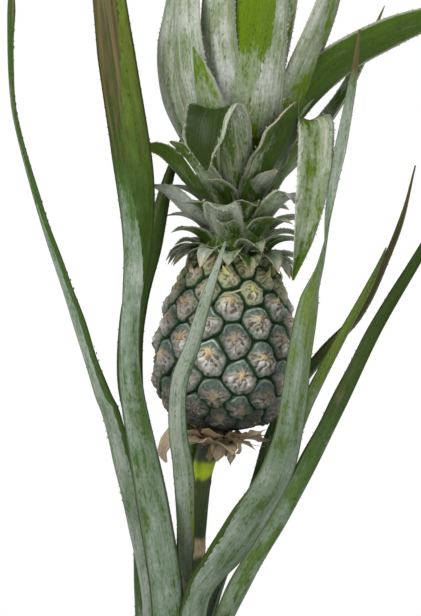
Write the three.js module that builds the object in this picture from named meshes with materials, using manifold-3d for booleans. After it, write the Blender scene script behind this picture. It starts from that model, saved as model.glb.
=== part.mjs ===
// A pineapple plant in fruit: a short stem with a rosette of channelled leaves, and a leaning
// stalk that carries the fruit and its crown. Millimetres, +Z up, +X to the right, +Y to the back.
// The origin is the middle of the flat cut under the stem, at ground level.
import * as THREE from "three";
import { mergeVertices } from "three/addons/utils/BufferGeometryUtils.js";
import Module from "manifold-3d";

const wasm = await Module();
wasm.setup();

// ---- driving dimensions ----
const degree = Math.PI / 180;
const gap = 0.3; // what touching pieces keep between them
const fineness = 0.2; // detail below this is dropped from the joined pieces
const goldenTurn = 137.5; // degrees from one leaf to the next up a stem
const leafThickness = { share: 0.0105, least: 1.2 }; // a share of the leaf's length

const stem = { height: 172, footRadius: 38, radius: 27, shoulder: 138, topRadius: 11 };
const stalk = { radii: [11, 9, 8, 7.6, 7.6, 10], sides: 10, steps: 8 };
const stalkLine = [[7, 235], [11.5, 285], [15.5, 325], [20, 357]]; // [x, z] between its ends
const fruit = { height: 145, radius: 57, footHeight: 381, topShare: 0.52, widest: 0.4 };
const eyes = { turn: 47.6, rise: 2.05, start: 30, first: 0.05, last: 0.955 };
const eyeRelief = { groove: 5, rim: 0.76, dome: 1 };
const lean = { fruit: Math.atan(0.085), crown: Math.atan(0.12) }; // to the right
const crown = { coreRadius: 30, coreTop: 8, coreFoot: -11, coreHeight: 108 };
const lowRing = { count: 12, foot: 16, rise: 5, turn: 62, length: 430, lean: [66, 101] };
const shortRing = { count: 26, turn: 12, foot: -10, rise: 1.85, length: 36, width: 24, grow: 1 };

const colours = {
  stem: 0x6b6a45,
  stalk: 0x5d6b2f,
  fruit: 0x7d7f6c,
  leaf: 0x7f9a78,
  upperLeaf: 0x5f7f3a,
  crownLeaf: 0x8aa284,
};

// ---- small helpers ----
const vec = (x, y, z) => new THREE.Vector3(x, y, z);
const around = (turn, radius, z) =>
  vec(radius * Math.cos(turn * degree), radius * Math.sin(turn * degree), z);
const mix = (a, b, share) => a + (b - a) * share;
const smooth = (x) => {
  const t = Math.min(Math.max(x, 0), 1);
  return t * t * (3 - 2 * t);
};
// The same scatter every time: a number from -1 to 1 for a leaf's index and a purpose.
const scatter = (index, purpose) => {
  const wave = Math.sin(index * 12.9898 + purpose * 78.233) * 43758.5453;
  return 2 * (wave - Math.floor(wave)) - 1;
};
// A value read off a list of evenly spaced ones.
const readList = (list, share) => {
  const at = share * (list.length - 1);
  const low = Math.min(Math.floor(at), list.length - 2);
  return mix(list[low], list[low + 1], at - low);
};

// The fruit's own frame: its foot is where the stalk ends, and its axis leans to the right.
const fruitFoot = vec(31, 0, fruit.footHeight);
const fruitFrame = new THREE.Matrix4().makeRotationY(lean.fruit).setPosition(fruitFoot);
const crownFoot = vec(44.8, 0, 525);
const crownFrame = new THREE.Matrix4().makeRotationY(lean.crown).setPosition(crownFoot);

// ---- solids ----
function solidOf(geometry) {
  const bare = geometry.clone();
  bare.deleteAttribute("normal");
  bare.deleteAttribute("uv");
  const merged = mergeVertices(bare, 1e-3);
  return new wasm.Manifold(
    new wasm.Mesh({
      numProp: 3,
      vertProperties: merged.attributes.position.array,
      triVerts: new Uint32Array(merged.index.array),
    }),
  );
}

function geometryOf(solid) {
  const mesh = solid.getMesh();
  const geometry = new THREE.BufferGeometry();
  geometry.setAttribute("position", new THREE.BufferAttribute(mesh.vertProperties, 3));
  geometry.setIndex(new THREE.BufferAttribute(mesh.triVerts, 1));
  geometry.computeVertexNormals();
  return geometry;
}

// A closed skin over rings of points that all have the same count, with a flat lid at each end.
function skinOver(rings) {
  const count = rings[0].length;
  const index = [];
  for (let ring = 0; ring < rings.length - 1; ring++) {
    for (let i = 0; i < count; i++) {
      const next = (i + 1) % count;
      const [a, b] = [ring * count + i, ring * count + next];
      const [c, d] = [a + count, b + count];
      // Alternate diagonals keep the two faces of a thin, twisted blade apart.
      if (i % 2) index.push(a, b, c, b, d, c);
      else index.push(a, b, d, a, d, c);
    }
  }
  const last = (rings.length - 1) * count;
  for (let i = 1; i < count - 1; i++) {
    index.push(0, i + 1, i);
    index.push(last, last + i, last + i + 1);
  }
  const geometry = new THREE.BufferGeometry().setFromPoints(rings.flat());
  return geometry.setIndex(index);
}

// A round limb that follows a curve, with its radius read off a list.
function limb(curve, radii, sides, steps) {
  const frames = curve.computeFrenetFrames(steps, false);
  const rings = [];
  for (let i = 0; i <= steps; i++) {
    const centre = curve.getPointAt(i / steps);
    const radius = readList(radii, i / steps);
    const ring = [];
    for (let side = 0; side < sides; side++) {
      const angle = (side / sides) * 2 * Math.PI;
      ring.push(
        centre
          .clone()
          .addScaledVector(frames.normals[i], radius * Math.cos(angle))
          .addScaledVector(frames.binormals[i], radius * Math.sin(angle)),
      );
    }
    rings.push(ring);
  }
  return solidOf(skinOver(rings));
}

// A surface of revolution about +Z from [radius, height] pairs that start and end on the axis.
function turned(profile, sides) {
  const points = profile.map(([radius, height]) => new THREE.Vector2(radius, height));
  return new THREE.LatheGeometry(points, sides).rotateX(Math.PI / 2);
}

// ---- leaves ----
// A leaf is a line of rows [x, y, z, width, turn] from its foot to its tip. Its blade is a channel:
// two edges, a keel under the midline and a groove over it. `faces` is the compass turn that the
// outer side looks to, `fold` lifts the edges, and each row's turn twists the blade about its line.
function leafSolid(leaf, grow = 0) {
  const line = leaf.rows.map(([x, y, z]) => vec(x, y, z));
  const curve = new THREE.CatmullRomCurve3(line, false, "catmullrom", 0.5);
  const widths = leaf.rows.map((row) => row[3]);
  const turns = leaf.rows.map((row) => row[4] ?? 0);
  const level = vec(-Math.sin(leaf.faces * degree), Math.cos(leaf.faces * degree), 0);
  const thick = Math.max(curve.getLength() * leafThickness.share, leafThickness.least);
  const rings = [];
  for (let i = 0; i <= leaf.steps; i++) {
    const share = curve.getUtoTmapping(i / leaf.steps);
    const at = curve.getPoint(share);
    const along = curve.getTangent(share);
    const across = level.clone().addScaledVector(along, -level.dot(along)).normalize();
    across.applyAxisAngle(along, readList(turns, share) * degree);
    const inward = vec(0, 0, 0).crossVectors(along, across);
    const half = readList(widths, share) / 2 + 2 * grow;
    const fold = readList(leaf.fold, share) * degree;
    const deep = (thick * mix(1, 0.35, smooth(3 * (i / leaf.steps) - 2))) / 2 + grow;
    const point = (sideways, up) =>
      at.clone().addScaledVector(across, sideways).addScaledVector(inward, up);
    rings.push([
      point(half * Math.cos(fold), half * Math.sin(fold)),
      point(0, deep),
      point(-half * Math.cos(fold), half * Math.sin(fold)),
      point(0, -deep),
    ]);
  }
  return solidOf(skinOver(rings));
}

// A leaf by rule: it leaves its foot at one lean from the vertical, bends steadily to another and
// swings sideways by `sweep`. It is at its full width at `widest` and `base` of it at its foot.
function arched(rule) {
  const { foot, turn, length, width, lean, sweep = 0, twist = 0 } = rule;
  const { base = 0.72, widest = 0.25, taper = 1.5, rows: count = 6 } = rule;
  const fine = 10;
  const step = length / ((count - 1) * fine);
  const at = foot.clone();
  const rows = [];
  for (let i = 0; i <= (count - 1) * fine; i++) {
    const share = i / ((count - 1) * fine);
    if (i % fine === 0) {
      const rise = mix(base, 1, smooth(share / widest));
      const run = Math.max(0, (share - widest) / (1 - widest));
      rows.push([at.x, at.y, at.z, width * Math.max(rise * (1 - run ** taper), 0.04), twist * share]);
    }
    const tilt = mix(lean[0], lean[1], share + 0.5 / ((count - 1) * fine)) * degree;
    at.add(around(turn + sweep * share, Math.sin(tilt), Math.cos(tilt)).multiplyScalar(step));
  }
  return { fold: [32, 22, 22, 28], steps: 10, faces: turn, ...rule, rows };
}

// The tall leaves round the stalk.
const tallLeaves = [
  {
    name: "leaf_right_front",
    faces: -62,
    fold: [30, 16, 14, 14, 10],
    steps: 15,
    rows: [
      [14, -19, 140, 26, -20],
      [12, -36, 205, 25, -8],
      [16, -47, 252, 27, 0],
      [38, -56, 285, 38, 0],
      [57, -62, 316, 38, 0],
      [75, -67, 347, 32, 0],
      [85, -71, 378, 28, 2],
      [90, -74, 409, 25, 4],
      [95, -71, 447, 24, 6],
      [102, -68, 485, 21, 12],
      [111, -64, 515, 13, 40],
      [118, -57, 562, 11, 76],
      [125.5, -50, 601, 12, 80],
      [134.5, -45, 650, 9, 80],
      [141, -40, 696, 2, 80],
    ],
  },
  {
    name: "leaf_left_front",
    faces: -112,
    fold: [32, 22, 16, 12, 14],
    steps: 15,
    rows: [
      [-14, -19, 138, 28, 10],
      [-11, -38, 196, 30, 16],
      [-9, -48, 249, 29, 22],
      [-21, -60, 331, 27, 22],
      [-35, -68, 408, 20, 22],
      [-38, -68, 447, 17, 22],
      [-36, -66, 485, 16, 16],
      [-33, -62, 523, 24, 0],
      [-34, -58, 562, 32, 0],
      [-38, -54, 601, 33, 8],
      [-50, -43, 679, 31, 12],
      [-59, -30, 750, 25, 12],
      [-70, -12, 832, 3, 12],
    ],
  },
  {
    name: "leaf_left_far",
    faces: -150,
    fold: [34, 26, 24, 20],
    steps: 15,
    rows: [
      [-25, -6, 124, 28, 0],
      [-28, -16, 190, 27, 4],
      [-28, -25, 250, 24, 7],
      [-42, -31, 328, 30, 12],
      [-56.5, -32, 390, 27, 12],
      [-65.5, -30, 414, 23, 7],
      [-88.5, -22, 485, 19, 4],
      [-108.5, -15, 544, 15, -4],
      [-128, -8, 612, 13, -16],
      [-135.5, -3, 653, 13, -16],
      [-137.5, 3, 715, 15, 0],
      [-134.5, 14, 790, 3, 6],
    ],
  },
  {
    name: "leaf_left_back",
    faces: -100,
    fold: [30, 20, 16, 20],
    steps: 12,
    rows: [
      [-22, 11, 128, 24, -70],
      [-30, 10, 200, 24, -30],
      [-28, 2, 290, 24, 0],
      [-31, -8, 366, 21, 0],
      [-40, -14, 420, 22, 0],
      [-37, -14, 478, 22, 0],
      [-22, -8, 530, 17, 10],
      [-9, 2, 583, 9, 20],
      [4, 12, 622, 2, 20],
    ],
  },
  {
    name: "leaf_stalk_front",
    faces: -95,
    fold: [24, 18, 14, 12],
    steps: 12,
    rows: [
      [9, -4, 256, 9, 0],
      [5, -18, 272, 11, 0],
      [5, -36, 305, 15, 0],
      [3.5, -56, 350, 17.5, 0],
      [-1, -70, 385, 15, -6],
      [0, -75, 420, 14, -6],
      [10.5, -77, 450, 12.5, 6],
      [22.5, -75, 490, 9, 6],
      [36, -64, 530, 2, 6],
    ],
  },
  {
    name: "leaf_right",
    faces: -20,
    fold: [34, 30, 38, 30, 20],
    steps: 13,
    rows: [
      [24, 1, 132, 28, 0],
      [30, -8, 190, 30, -14],
      [46, -16, 244, 30, -24],
      [94, -4, 326, 30, -24],
      [131.5, 8, 398, 26, -24],
      [161.5, 20, 459, 22, -20],
      [192.5, 32, 511, 20, -12],
      [227, 44, 568, 15, -4],
      [264, 54, 620, 2, 0],
    ],
  },
  {
    name: "leaf_right_inner",
    faces: -40,
    fold: [32, 26, 24, 22],
    steps: 13,
    rows: [
      [17, 16, 128, 20, 0],
      [20, 14, 196, 21, 0],
      [28, 2, 244, 22, 0],
      [47, -8, 288, 22, 0],
      [66, -14, 320, 22, 0],
      [89, -11, 366, 21, 0],
      [106, 0, 405, 18, 0],
      [129, 12, 449, 15, 0],
      [155, 24, 497, 10, 0],
      [168, 31, 528, 2, 0],
    ],
  },
  {
    name: "leaf_right_back",
    faces: -40,
    fold: [32, 24, 20, 20],
    steps: 13,
    rows: [
      [11, 20, 120, 22, 40],
      [20, 32, 190, 22, 20],
      [35, 24, 256, 22, 6],
      [60, 14, 318, 21, 0],
      [76, 18, 372, 20, 0],
      [96, 28, 412, 15, -6],
      [119, 38, 442, 14, -14],
      [146, 45, 471, 12, -14],
      [166, 53, 508, 11, -8],
      [184, 62, 551, 8, 0],
      [196, 72, 598, 2, 0],
    ],
  },
  {
    name: "leaf_back",
    faces: 90,
    fold: [32, 22, 20, 26],
    steps: 12,
    rows: [
      [2, 23, 142, 22],
      [6, 45, 200, 25],
      [8, 60, 265, 26],
      [10, 67, 335, 26],
      [20, 73, 405, 27],
      [34, 82, 480, 24],
      [48, 92, 560, 15],
      [56, 103, 630, 2],
    ],
  },
  {
    name: "leaf_back_left",
    faces: 110,
    fold: [32, 22, 20, 26],
    steps: 12,
    rows: [
      [-13, 19, 112, 20],
      [-11, 35, 190, 21],
      [-11, 43, 240, 21],
      [-24, 58, 319, 20],
      [-40, 80, 398, 18],
      [-43, 97, 460, 17],
      [-40, 112, 515, 14],
      [-41, 134, 596, 2],
    ],
  },
  {
    name: "leaf_back_right",
    faces: 70,
    fold: [32, 22, 20, 26],
    steps: 12,
    rows: [
      [10, 21, 106, 22],
      [13, 36, 185, 22],
      [18, 44, 240, 22],
      [54, 60, 303, 22],
      [83, 80, 358, 20],
      [94, 94, 401, 17],
      [99, 105, 443, 12],
      [103, 114, 478, 2],
    ],
  },
];

// Leaves that spread between the tall ones and the ground.
const spreadingLeaves = [
  { turn: -16, height: 100, length: 560, lean: [56, 84] },
  { turn: 22, height: 94, length: 560, lean: [54, 94] },
  { turn: 164, height: 100, length: 570, lean: [53, 86] },
  { turn: 204, height: 92, length: 550, lean: [58, 86] },
  { turn: -60, height: 84, length: 500, lean: [58, 92] },
  { turn: -118, height: 80, length: 520, lean: [60, 94] },
  { turn: 64, height: 78, length: 520, lean: [66, 98] },
  { turn: 112, height: 76, length: 530, lean: [68, 98] },
].map((leaf, i) =>
  arched({
    ...leaf,
    name: `leaf_spreading_${i + 1}`,
    foot: around(leaf.turn, stem.radius - 5, leaf.height),
    width: 37 + 2 * scatter(i, 1),
    twist: 14 * scatter(i, 2),
    sweep: 12 * scatter(i, 3),
  }),
);

// The oldest leaves, low on the stem: one spiral, each a golden turn on from the last.
const lowLeaves = Array.from({ length: lowRing.count }, (_, i) => {
  const turn = lowRing.turn + i * goldenTurn;
  return arched({
    name: `leaf_low_${i + 1}`,
    turn,
    foot: around(turn, stem.radius - 5, lowRing.foot + i * lowRing.rise),
    length: lowRing.length + 8 * i + 30 * scatter(i, 4),
    width: 35 + 3 * scatter(i, 5),
    lean: [lowRing.lean[0] - 0.8 * i, lowRing.lean[1] + 3 * scatter(i, 6)],
    sweep: 14 * scatter(i, 7),
    twist: 18 * scatter(i, 8),
  });
});

// ---- crown leaves, in the crown's own frame ----
const shapedCrownLeaves = [
  {
    name: "crown_leaf_front",
    faces: -86,
    rows: [
      [3, -10, 40, 36],
      [-1, -30, 80, 56],
      [-3, -44, 120, 56],
      [-3, -54, 189, 44],
      [-4, -52, 250, 24],
      [-6, -46, 296, 2],
    ],
  },
  {
    name: "crown_leaf_front_left",
    faces: -112,
    rows: [
      [-6, -10, 46, 28],
      [-19, -32, 90, 34],
      [-32, -46, 144, 34],
      [-38, -52, 190, 28],
      [-40, -48, 268, 2],
    ],
  },
  {
    name: "crown_leaf_left_front",
    faces: -140,
    rows: [
      [-13, -10, 38, 34],
      [-36, -30, 84, 38],
      [-54, -42, 128, 40],
      [-64, -46, 184, 33],
      [-68, -40, 246, 2],
    ],
  },
  {
    name: "crown_leaf_left",
    faces: 188,
    rows: [
      [-14, 0, 34, 36, -20],
      [-46, -4, 72, 38, -20],
      [-72, -8, 112, 38, -10],
      [-82, -10, 160, 30, 0],
      [-80, -8, 228, 2, 0],
    ],
  },
  {
    name: "crown_leaf_right_front",
    faces: -46,
    rows: [
      [11, -8, 50, 30],
      [24, -18, 96, 36],
      [38, -25, 150, 34],
      [50, -28, 199, 28],
      [62, -26, 262, 2],
    ],
  },
  {
    name: "crown_leaf_right",
    faces: -8,
    rows: [
      [12, 0, 44, 32, 0],
      [30, -4, 102, 38, -34],
      [56, -12, 149, 35, -50],
      [102, -28, 183, 29, -50],
      [146, -38, 203, 19, -40],
      [172, -42, 212, 2, -30],
    ],
  },
  {
    name: "crown_leaf_folded",
    faces: -112,
    fold: [36, 18, 12, 20],
    rows: [
      [-5, -14, 22, 32],
      [-15, -34, 62, 44],
      [-25, -50, 99, 46],
      [-32, -60, 101, 44],
      [-34, -67, 78, 34],
      [-30, -68, 56, 3],
    ],
  },
  {
    name: "crown_leaf_right_inner",
    faces: -50,
    rows: [
      [8, -12, 24, 32],
      [18, -34, 62, 42],
      [27, -46, 94, 34],
      [33, -50, 118, 4],
    ],
  },
  {
    name: "crown_leaf_right_hanging",
    faces: -60,
    fold: [30, 20, 12, 20, 24],
    steps: 14,
    rows: [
      [13, -4, 30, 24, 0],
      [30, -20, 74, 30, 0],
      [41, -32, 102, 30, 0],
      [49, -40, 103, 30, 16],
      [52.5, -45, 70, 28, 30],
      [52, -45, 40, 24, 30],
      [50.5, -44, 12, 16, 30],
      [46.5, -40, -19, 2, 30],
    ],
  },
  {
    name: "crown_leaf_left_low",
    faces: -134,
    fold: [40, 40, 30],
    steps: 8,
    rows: [
      [-9, -10, 20, 24],
      [-30, -31, 46, 30],
      [-48, -42, 66, 25],
      [-62, -46, 76, 4],
    ],
  },
  {
    name: "crown_leaf_left_arched",
    faces: 200,
    fold: [30, 14, 10, 10],
    steps: 8,
    rows: [
      [-14, -5, 22, 14, 0],
      [-40, -20, 46, 16, 30],
      [-60, -28, 66, 15, 45],
      [-74, -31, 71, 11, 45],
      [-86, -32, 68, 2, 45],
    ],
  },
  {
    name: "crown_leaf_left_short",
    faces: 200,
    steps: 7,
    rows: [
      [-18, -8, 12, 16, 0],
      [-38, -20, 24, 18, 30],
      [-56, -26, 38, 14, 40],
      [-74, -28, 42, 2, 40],
    ],
  },
  {
    name: "crown_leaf_front_short",
    faces: -100,
    steps: 8,
    rows: [
      [-4, -20, 0, 24],
      [-13, -38, 20, 32],
      [-15, -50, 31, 30],
      [-8, -61, 28, 4],
    ],
  },
  {
    name: "crown_leaf_right_short",
    faces: -50,
    steps: 8,
    rows: [
      [16, -14, 14, 24],
      [27, -32, 38, 26],
      [36, -38, 47, 20],
      [46, -44, 36, 3],
    ],
  },
].map((leaf) => ({ fold: [36, 18, 12, 12], steps: 10, ...leaf }));

// The rest of the crown's tall leaves: its back and its heart.
const risingTurns = [20, 54, 88, 122, 156, 70, 140];
const risingCrownLeaves = risingTurns.map((turn, i) => {
  return arched({
    name: `crown_leaf_rising_${i + 1}`,
    turn,
    foot: around(turn, 9 - 0.6 * i, 36 + 8 * i),
    length: 205 + 10 * i,
    width: 37 - i,
    lean: [46 - 5 * i, 10 - i],
    base: 0.85,
    taper: 2,
    twist: 10 * scatter(i, 11),
    rows: 5,
  });
});

// Short leaves that bend back over the shoulder of the fruit. They grow out of the crown's core.
const shortCrownLeaves = Array.from({ length: shortRing.count }, (_, i) => {
  const turn = shortRing.turn + i * goldenTurn;
  const height = shortRing.foot + i * shortRing.rise;
  const radius = mix(crown.coreRadius, crown.coreTop, height / crown.coreHeight);
  return arched({
    turn,
    foot: around(turn, radius - 5, height),
    length: shortRing.length + shortRing.grow * i,
    width: shortRing.width,
    lean: [22 + 0.4 * i, 140 - 2 * i + 12 * scatter(i, 12)],
    base: 1,
    widest: 0.3,
    taper: 1.5,
    fold: [34, 14],
    steps: 4,
    rows: 4,
  });
});

// A leaf given in a frame of its own, put in the plant's.
const inFrame = (leaf, frame) => ({
  ...leaf,
  rows: leaf.rows.map(([x, y, z, ...rest]) => [
    ...vec(x, y, z).applyMatrix4(frame).toArray(),
    ...rest,
  ]),
});

// ---- the fruit ----
// The outline: an ovoid that is widest low down and runs up to a broad shoulder.
function fruitRadius(share) {
  if (share < fruit.widest) {
    const below = (fruit.widest - share) / fruit.widest;
    return fruit.radius * Math.sqrt(Math.max(0, 1 - below ** 3));
  }
  const above = (share - fruit.widest) / (1 - fruit.widest);
  return fruit.radius * (1 - fruit.topShare * above * above);
}

// Eyes sit on one spiral; each step up the skin is scaled by the girth, so cells keep their shape.
function eyePlaces() {
  const places = [];
  let share = eyes.first;
  for (let i = 0; share < eyes.last; i++) {
    const radius = fruitRadius(share);
    const slope = (fruitRadius(share + 0.005) - fruitRadius(share - 0.005)) / (0.01 * fruit.height);
    const turn = eyes.start + i * eyes.turn;
    const centre = around(turn, radius, share * fruit.height);
    const outward = around(turn, 1, -slope).normalize();
    places.push({ centre, outward });
    share += (eyes.rise * (radius / fruit.radius)) / (fruit.height * Math.hypot(1, slope));
  }
  return places;
}

// Triangles between neighbouring eyes, which are 7, 8 and 15 places apart on the spiral. The ring
// of eyes left open at each end is closed on to a pole, given here as the last two places.
function eyeTriangles(count) {
  const triangles = [];
  for (let i = 0; i + 15 < count; i++) triangles.push([i, i + 8, i + 15], [i, i + 15, i + 7]);
  for (let i = 0; i < 8; i++) {
    const j = count - 1 - i;
    triangles.push([i, i + 7, count], [j, j - 7, count + 1]);
    if (i < 7) triangles.push([i, i + 8, count], [j, j - 8, count + 1]);
  }
  return triangles;
}

// Each eye is a low cone inside a rim; its sides fall to a groove that runs through the middles of
// the triangles around it.
function fruitSolid(grow = 0) {
  const places = eyePlaces();
  const triangles = eyeTriangles(places.length);
  places.push({ centre: vec(0, 0, 0.5), outward: vec(0, 0, -1) });
  places.push({ centre: vec(0, 0, fruit.height - 1), outward: vec(0, 0, 1) });
  const rings = places.map(() => []);
  for (const triangle of triangles) {
    const corner = vec(0, 0, 0);
    const inward = vec(0, 0, 0);
    for (const i of triangle) {
      corner.addScaledVector(places[i].centre, 1 / 3);
      inward.addScaledVector(places[i].outward, -1 / 3);
    }
    const sunk = corner.clone().addScaledVector(inward.normalize(), eyeRelief.groove - grow);
    for (const i of triangle) rings[i].push({ corner, sunk });
  }
  const faces = [];
  places.forEach(({ centre, outward }, i) => {
    const side = rings[i][0].corner.clone().sub(centre).projectOnPlane(outward);
    const other = outward.clone().cross(side);
    const angle = ({ corner }) => {
      const away = corner.clone().sub(centre);
      return Math.atan2(away.dot(other), away.dot(side));
    };
    const ring = rings[i].sort((a, b) => angle(a) - angle(b));
    const rim = ring.map(({ corner }) =>
      centre.clone().lerp(corner, eyeRelief.rim).addScaledVector(outward, grow),
    );
    const top = centre.clone().addScaledVector(outward, eyeRelief.dome + grow);
    ring.forEach(({ sunk }, k) => {
      const next = (k + 1) % ring.length;
      faces.push(top, rim[k], rim[next]);
      faces.push(rim[k], sunk, ring[next].sunk, rim[k], ring[next].sunk, rim[next]);
    });
  });
  return solidOf(new THREE.BufferGeometry().setFromPoints(faces)).transform(fruitFrame.elements);
}

// ---- stem, stalk and the crown's core ----
function stemSolid(grow = 0) {
  return solidOf(
    turned(
      [
        [0, 0],
        [stem.footRadius + grow, 0],
        [stem.footRadius - 6 + grow, 8],
        [stem.radius + 1 + grow, 24],
        [stem.radius + grow, stem.shoulder],
        [stem.topRadius + 4 + grow, stem.height - 8],
        [stem.topRadius + grow, stem.height + grow],
        [0, stem.height + grow],
      ],
      18,
    ),
  );
}

function stalkSolid(grow = 0) {
  const line = [
    vec(0, 0, stem.height + gap),
    ...stalkLine.map(([x, z]) => vec(x, 0, z)),
    vec(0, 0, -gap).applyMatrix4(fruitFrame),
  ];
  const curve = new THREE.CatmullRomCurve3(line, false, "catmullrom", 0.5);
  return limb(curve, stalk.radii.map((radius) => radius + grow), stalk.sides, stalk.steps);
}

// Dry bracts hang out from under the fruit, grown on to the stalk.
const bracts = { count: 7, turn: -40, length: 34, width: 20, drop: 10 };
function bractSolids(grow = 0) {
  return Array.from({ length: bracts.count }, (_, i) => {
    const turn = bracts.turn + i * goldenTurn;
    const bract = arched({
      turn,
      foot: around(turn, 4, -bracts.drop - 1.5 * (i % 3)),
      length: bracts.length + 6 * scatter(i, 14),
      width: bracts.width + 3 * scatter(i, 13),
      lean: [64, 104 + 16 * scatter(i, 15)],
      base: 1,
      widest: 0.35,
      fold: [20, 8],
      steps: 4,
      rows: 4,
    });
    return leafSolid(inFrame(bract, fruitFrame), 2 * grow);
  });
}

// The crown's core, with the short leaves that grow out of it.
function crownCoreSolid(grow = 0) {
  const { coreRadius, coreTop, coreFoot, coreHeight } = crown;
  const profile = [
    [0, coreFoot],
    [coreRadius + grow, coreFoot],
    [mix(coreRadius, coreTop, 0.45) + grow, coreHeight * 0.4],
    [coreTop + grow, coreHeight],
    [0, coreHeight + 6],
  ];
  const core = solidOf(turned(profile, 14)).transform(crownFrame.elements);
  const leaves = shortCrownLeaves.map((leaf) => leafSolid(inFrame(leaf, crownFrame), 2 * grow));
  return wasm.Manifold.union([core, ...leaves]);
}

// ---- assembly: each piece is cut clear of those placed before it ----
const plant = new THREE.Group();
const placed = [];

const largest = (solid) =>
  solid.decompose().reduce((best, body) => (body.volume() > best.volume() ? body : best));

function boxesMeet(a, b) {
  return [0, 1, 2].every((k) => a.min[k] <= b.max[k] && b.min[k] <= a.max[k]);
}

function place(name, solid, grown, colour) {
  let body = solid;
  for (const other of placed) {
    if (boxesMeet(body.boundingBox(), other.boundingBox())) {
      const cut = body.subtract(other);
      if (cut.volume() < body.volume()) body = largest(cut);
    }
  }
  placed.push(grown, body);
  const material = new THREE.MeshStandardMaterial({ color: colour, roughness: 0.6, metalness: 0 });
  const mesh = new THREE.Mesh(geometryOf(body), material);
  mesh.name = name;
  plant.add(mesh);
}

const placeLeaf = (leaf, colour) =>
  place(leaf.name, leafSolid(leaf), leafSolid(leaf, 2 * gap), colour);

const stalkWithBracts = (grow) => wasm.Manifold.union([stalkSolid(grow), ...bractSolids(grow)]);
place("stem", stemSolid(), stemSolid(gap), colours.stem);
place("fruit", fruitSolid(), fruitSolid(gap), colours.fruit);
place("stalk", stalkWithBracts(0).simplify(fineness), stalkWithBracts(gap), colours.stalk);
place("crown_core", crownCoreSolid(), crownCoreSolid(gap), colours.crownLeaf);
for (const leaf of [...tallLeaves, ...spreadingLeaves, ...lowLeaves]) placeLeaf(leaf, colours.leaf);
for (const leaf of [...shapedCrownLeaves, ...risingCrownLeaves]) {
  placeLeaf(inFrame(leaf, crownFrame), colours.crownLeaf);
}

export default plant;
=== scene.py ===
import math
import bpy
import numpy as np
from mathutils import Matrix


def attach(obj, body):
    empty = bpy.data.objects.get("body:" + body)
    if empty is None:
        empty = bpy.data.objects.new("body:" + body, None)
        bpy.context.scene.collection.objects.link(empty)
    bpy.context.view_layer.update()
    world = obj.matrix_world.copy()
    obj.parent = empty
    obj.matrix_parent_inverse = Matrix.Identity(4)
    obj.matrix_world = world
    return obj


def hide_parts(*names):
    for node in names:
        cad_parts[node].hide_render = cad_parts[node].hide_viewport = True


# A pineapple plant in fruit. Shapes are worked out in millimetres and go into meshes in metres.
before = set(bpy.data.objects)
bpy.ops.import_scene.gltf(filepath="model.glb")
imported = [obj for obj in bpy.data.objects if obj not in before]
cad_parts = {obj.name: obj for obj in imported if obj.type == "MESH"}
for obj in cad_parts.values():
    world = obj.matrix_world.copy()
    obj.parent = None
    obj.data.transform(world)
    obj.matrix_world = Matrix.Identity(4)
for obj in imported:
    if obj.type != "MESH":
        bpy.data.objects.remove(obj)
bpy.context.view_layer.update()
print("frame loaded")

goldenTurn = 137.5
fruitHeight = 145.0
fruitPlace = {"lean": math.atan(0.085), "foot": [31.0, 0.0, 381.0]}  # lean to the right
crownPlace = {"lean": math.atan(0.12), "foot": [44.8, 0.0, 525.0]}


# ---- numbers ----
def smooth(x):
    t = np.clip(x, 0, 1)
    return t * t * (3 - 2 * t)


def mix(a, b, share):
    return a + (b - a) * share


# A fixed scatter between -1 and 1. Each purpose has its own.
def scatter(index, purpose):
    wave = np.sin(np.asarray(index) * 12.9898 + purpose * 78.233) * 43758.5453
    return 2 * (wave - np.floor(wave)) - 1


# The sum of sines that run in random directions, mostly between -1.5 and 1.5.
def ripples(points, length, seed, count=20):
    random = np.random.default_rng(seed)
    directions = unit(random.normal(size=(count, 3)))
    waves = directions * (2 * np.pi / length * random.uniform(0.7, 1.4, (count, 1)))
    phases = random.uniform(0, 2 * np.pi, count)
    return np.sin(points @ waves.T + phases).sum(1) / math.sqrt(count)


# The value at a share of the way along evenly spaced values.
def readList(values, share):
    return np.interp(share, np.linspace(0, 1, len(values)), values)


def around(turn, radius, z):
    angle = np.radians(turn)
    return np.stack(np.broadcast_arrays(radius * np.cos(angle), radius * np.sin(angle), z), -1)


def unit(vectors):
    return vectors / np.maximum(np.linalg.norm(vectors, axis=-1, keepdims=True), 1e-9)


# The leaning frame of the fruit or crown: a turn about Y, then the shift to its foot.
def leaning(points, place):
    x, y, z = np.moveaxis(np.asarray(points, float), -1, 0)
    c, s = math.cos(place["lean"]), math.sin(place["lean"])
    return np.stack([x * c + z * s, y, z * c - x * s], -1) + place["foot"]


# ---- curves ----
# A smooth line through points: each span is a cubic, and its slope at a point is half the step
# from the point before to the point after.
def lineAt(points, share):
    points = np.asarray(points, float)
    ends = np.vstack([2 * points[0] - points[1], points, 2 * points[-1] - points[-2]])
    spans = len(points) - 1
    place = np.clip(np.asarray(share, float) * spans, 0, spans)
    span = np.minimum(place.astype(int), spans - 1)
    t = (place - span)[:, None]
    before, start, end, after = (ends[span + k] for k in range(4))
    slopeA, slopeB = (end - before) / 2, (after - start) / 2
    a = 2 * (start - end) + slopeA + slopeB
    b = 3 * (end - start) - 2 * slopeA - slopeB
    return ((a * t + b) * t + slopeA) * t + start, (3 * a * t + 2 * b) * t + slopeA


# The shares of a line that lie at even lengths along it, and its length.
def evenShares(points, even):
    fine = np.linspace(0, 1, 600)
    at = lineAt(points, fine)[0]
    run = np.r_[0, np.cumsum(np.linalg.norm(np.diff(at, axis=0), axis=1))]
    return np.interp(np.asarray(even) * run[-1], run, fine), run[-1]


# ---- meshes: a part is its points, its faces and the marks that its material reads ----
def tubeFaces(rings, count):
    ring, side = np.meshgrid(np.arange(rings - 1), np.arange(count), indexing="ij")
    a, b = ring * count + side, ring * count + (side + 1) % count
    return np.stack([a, b, b + count, a + count], -1).reshape(-1, 4)


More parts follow.
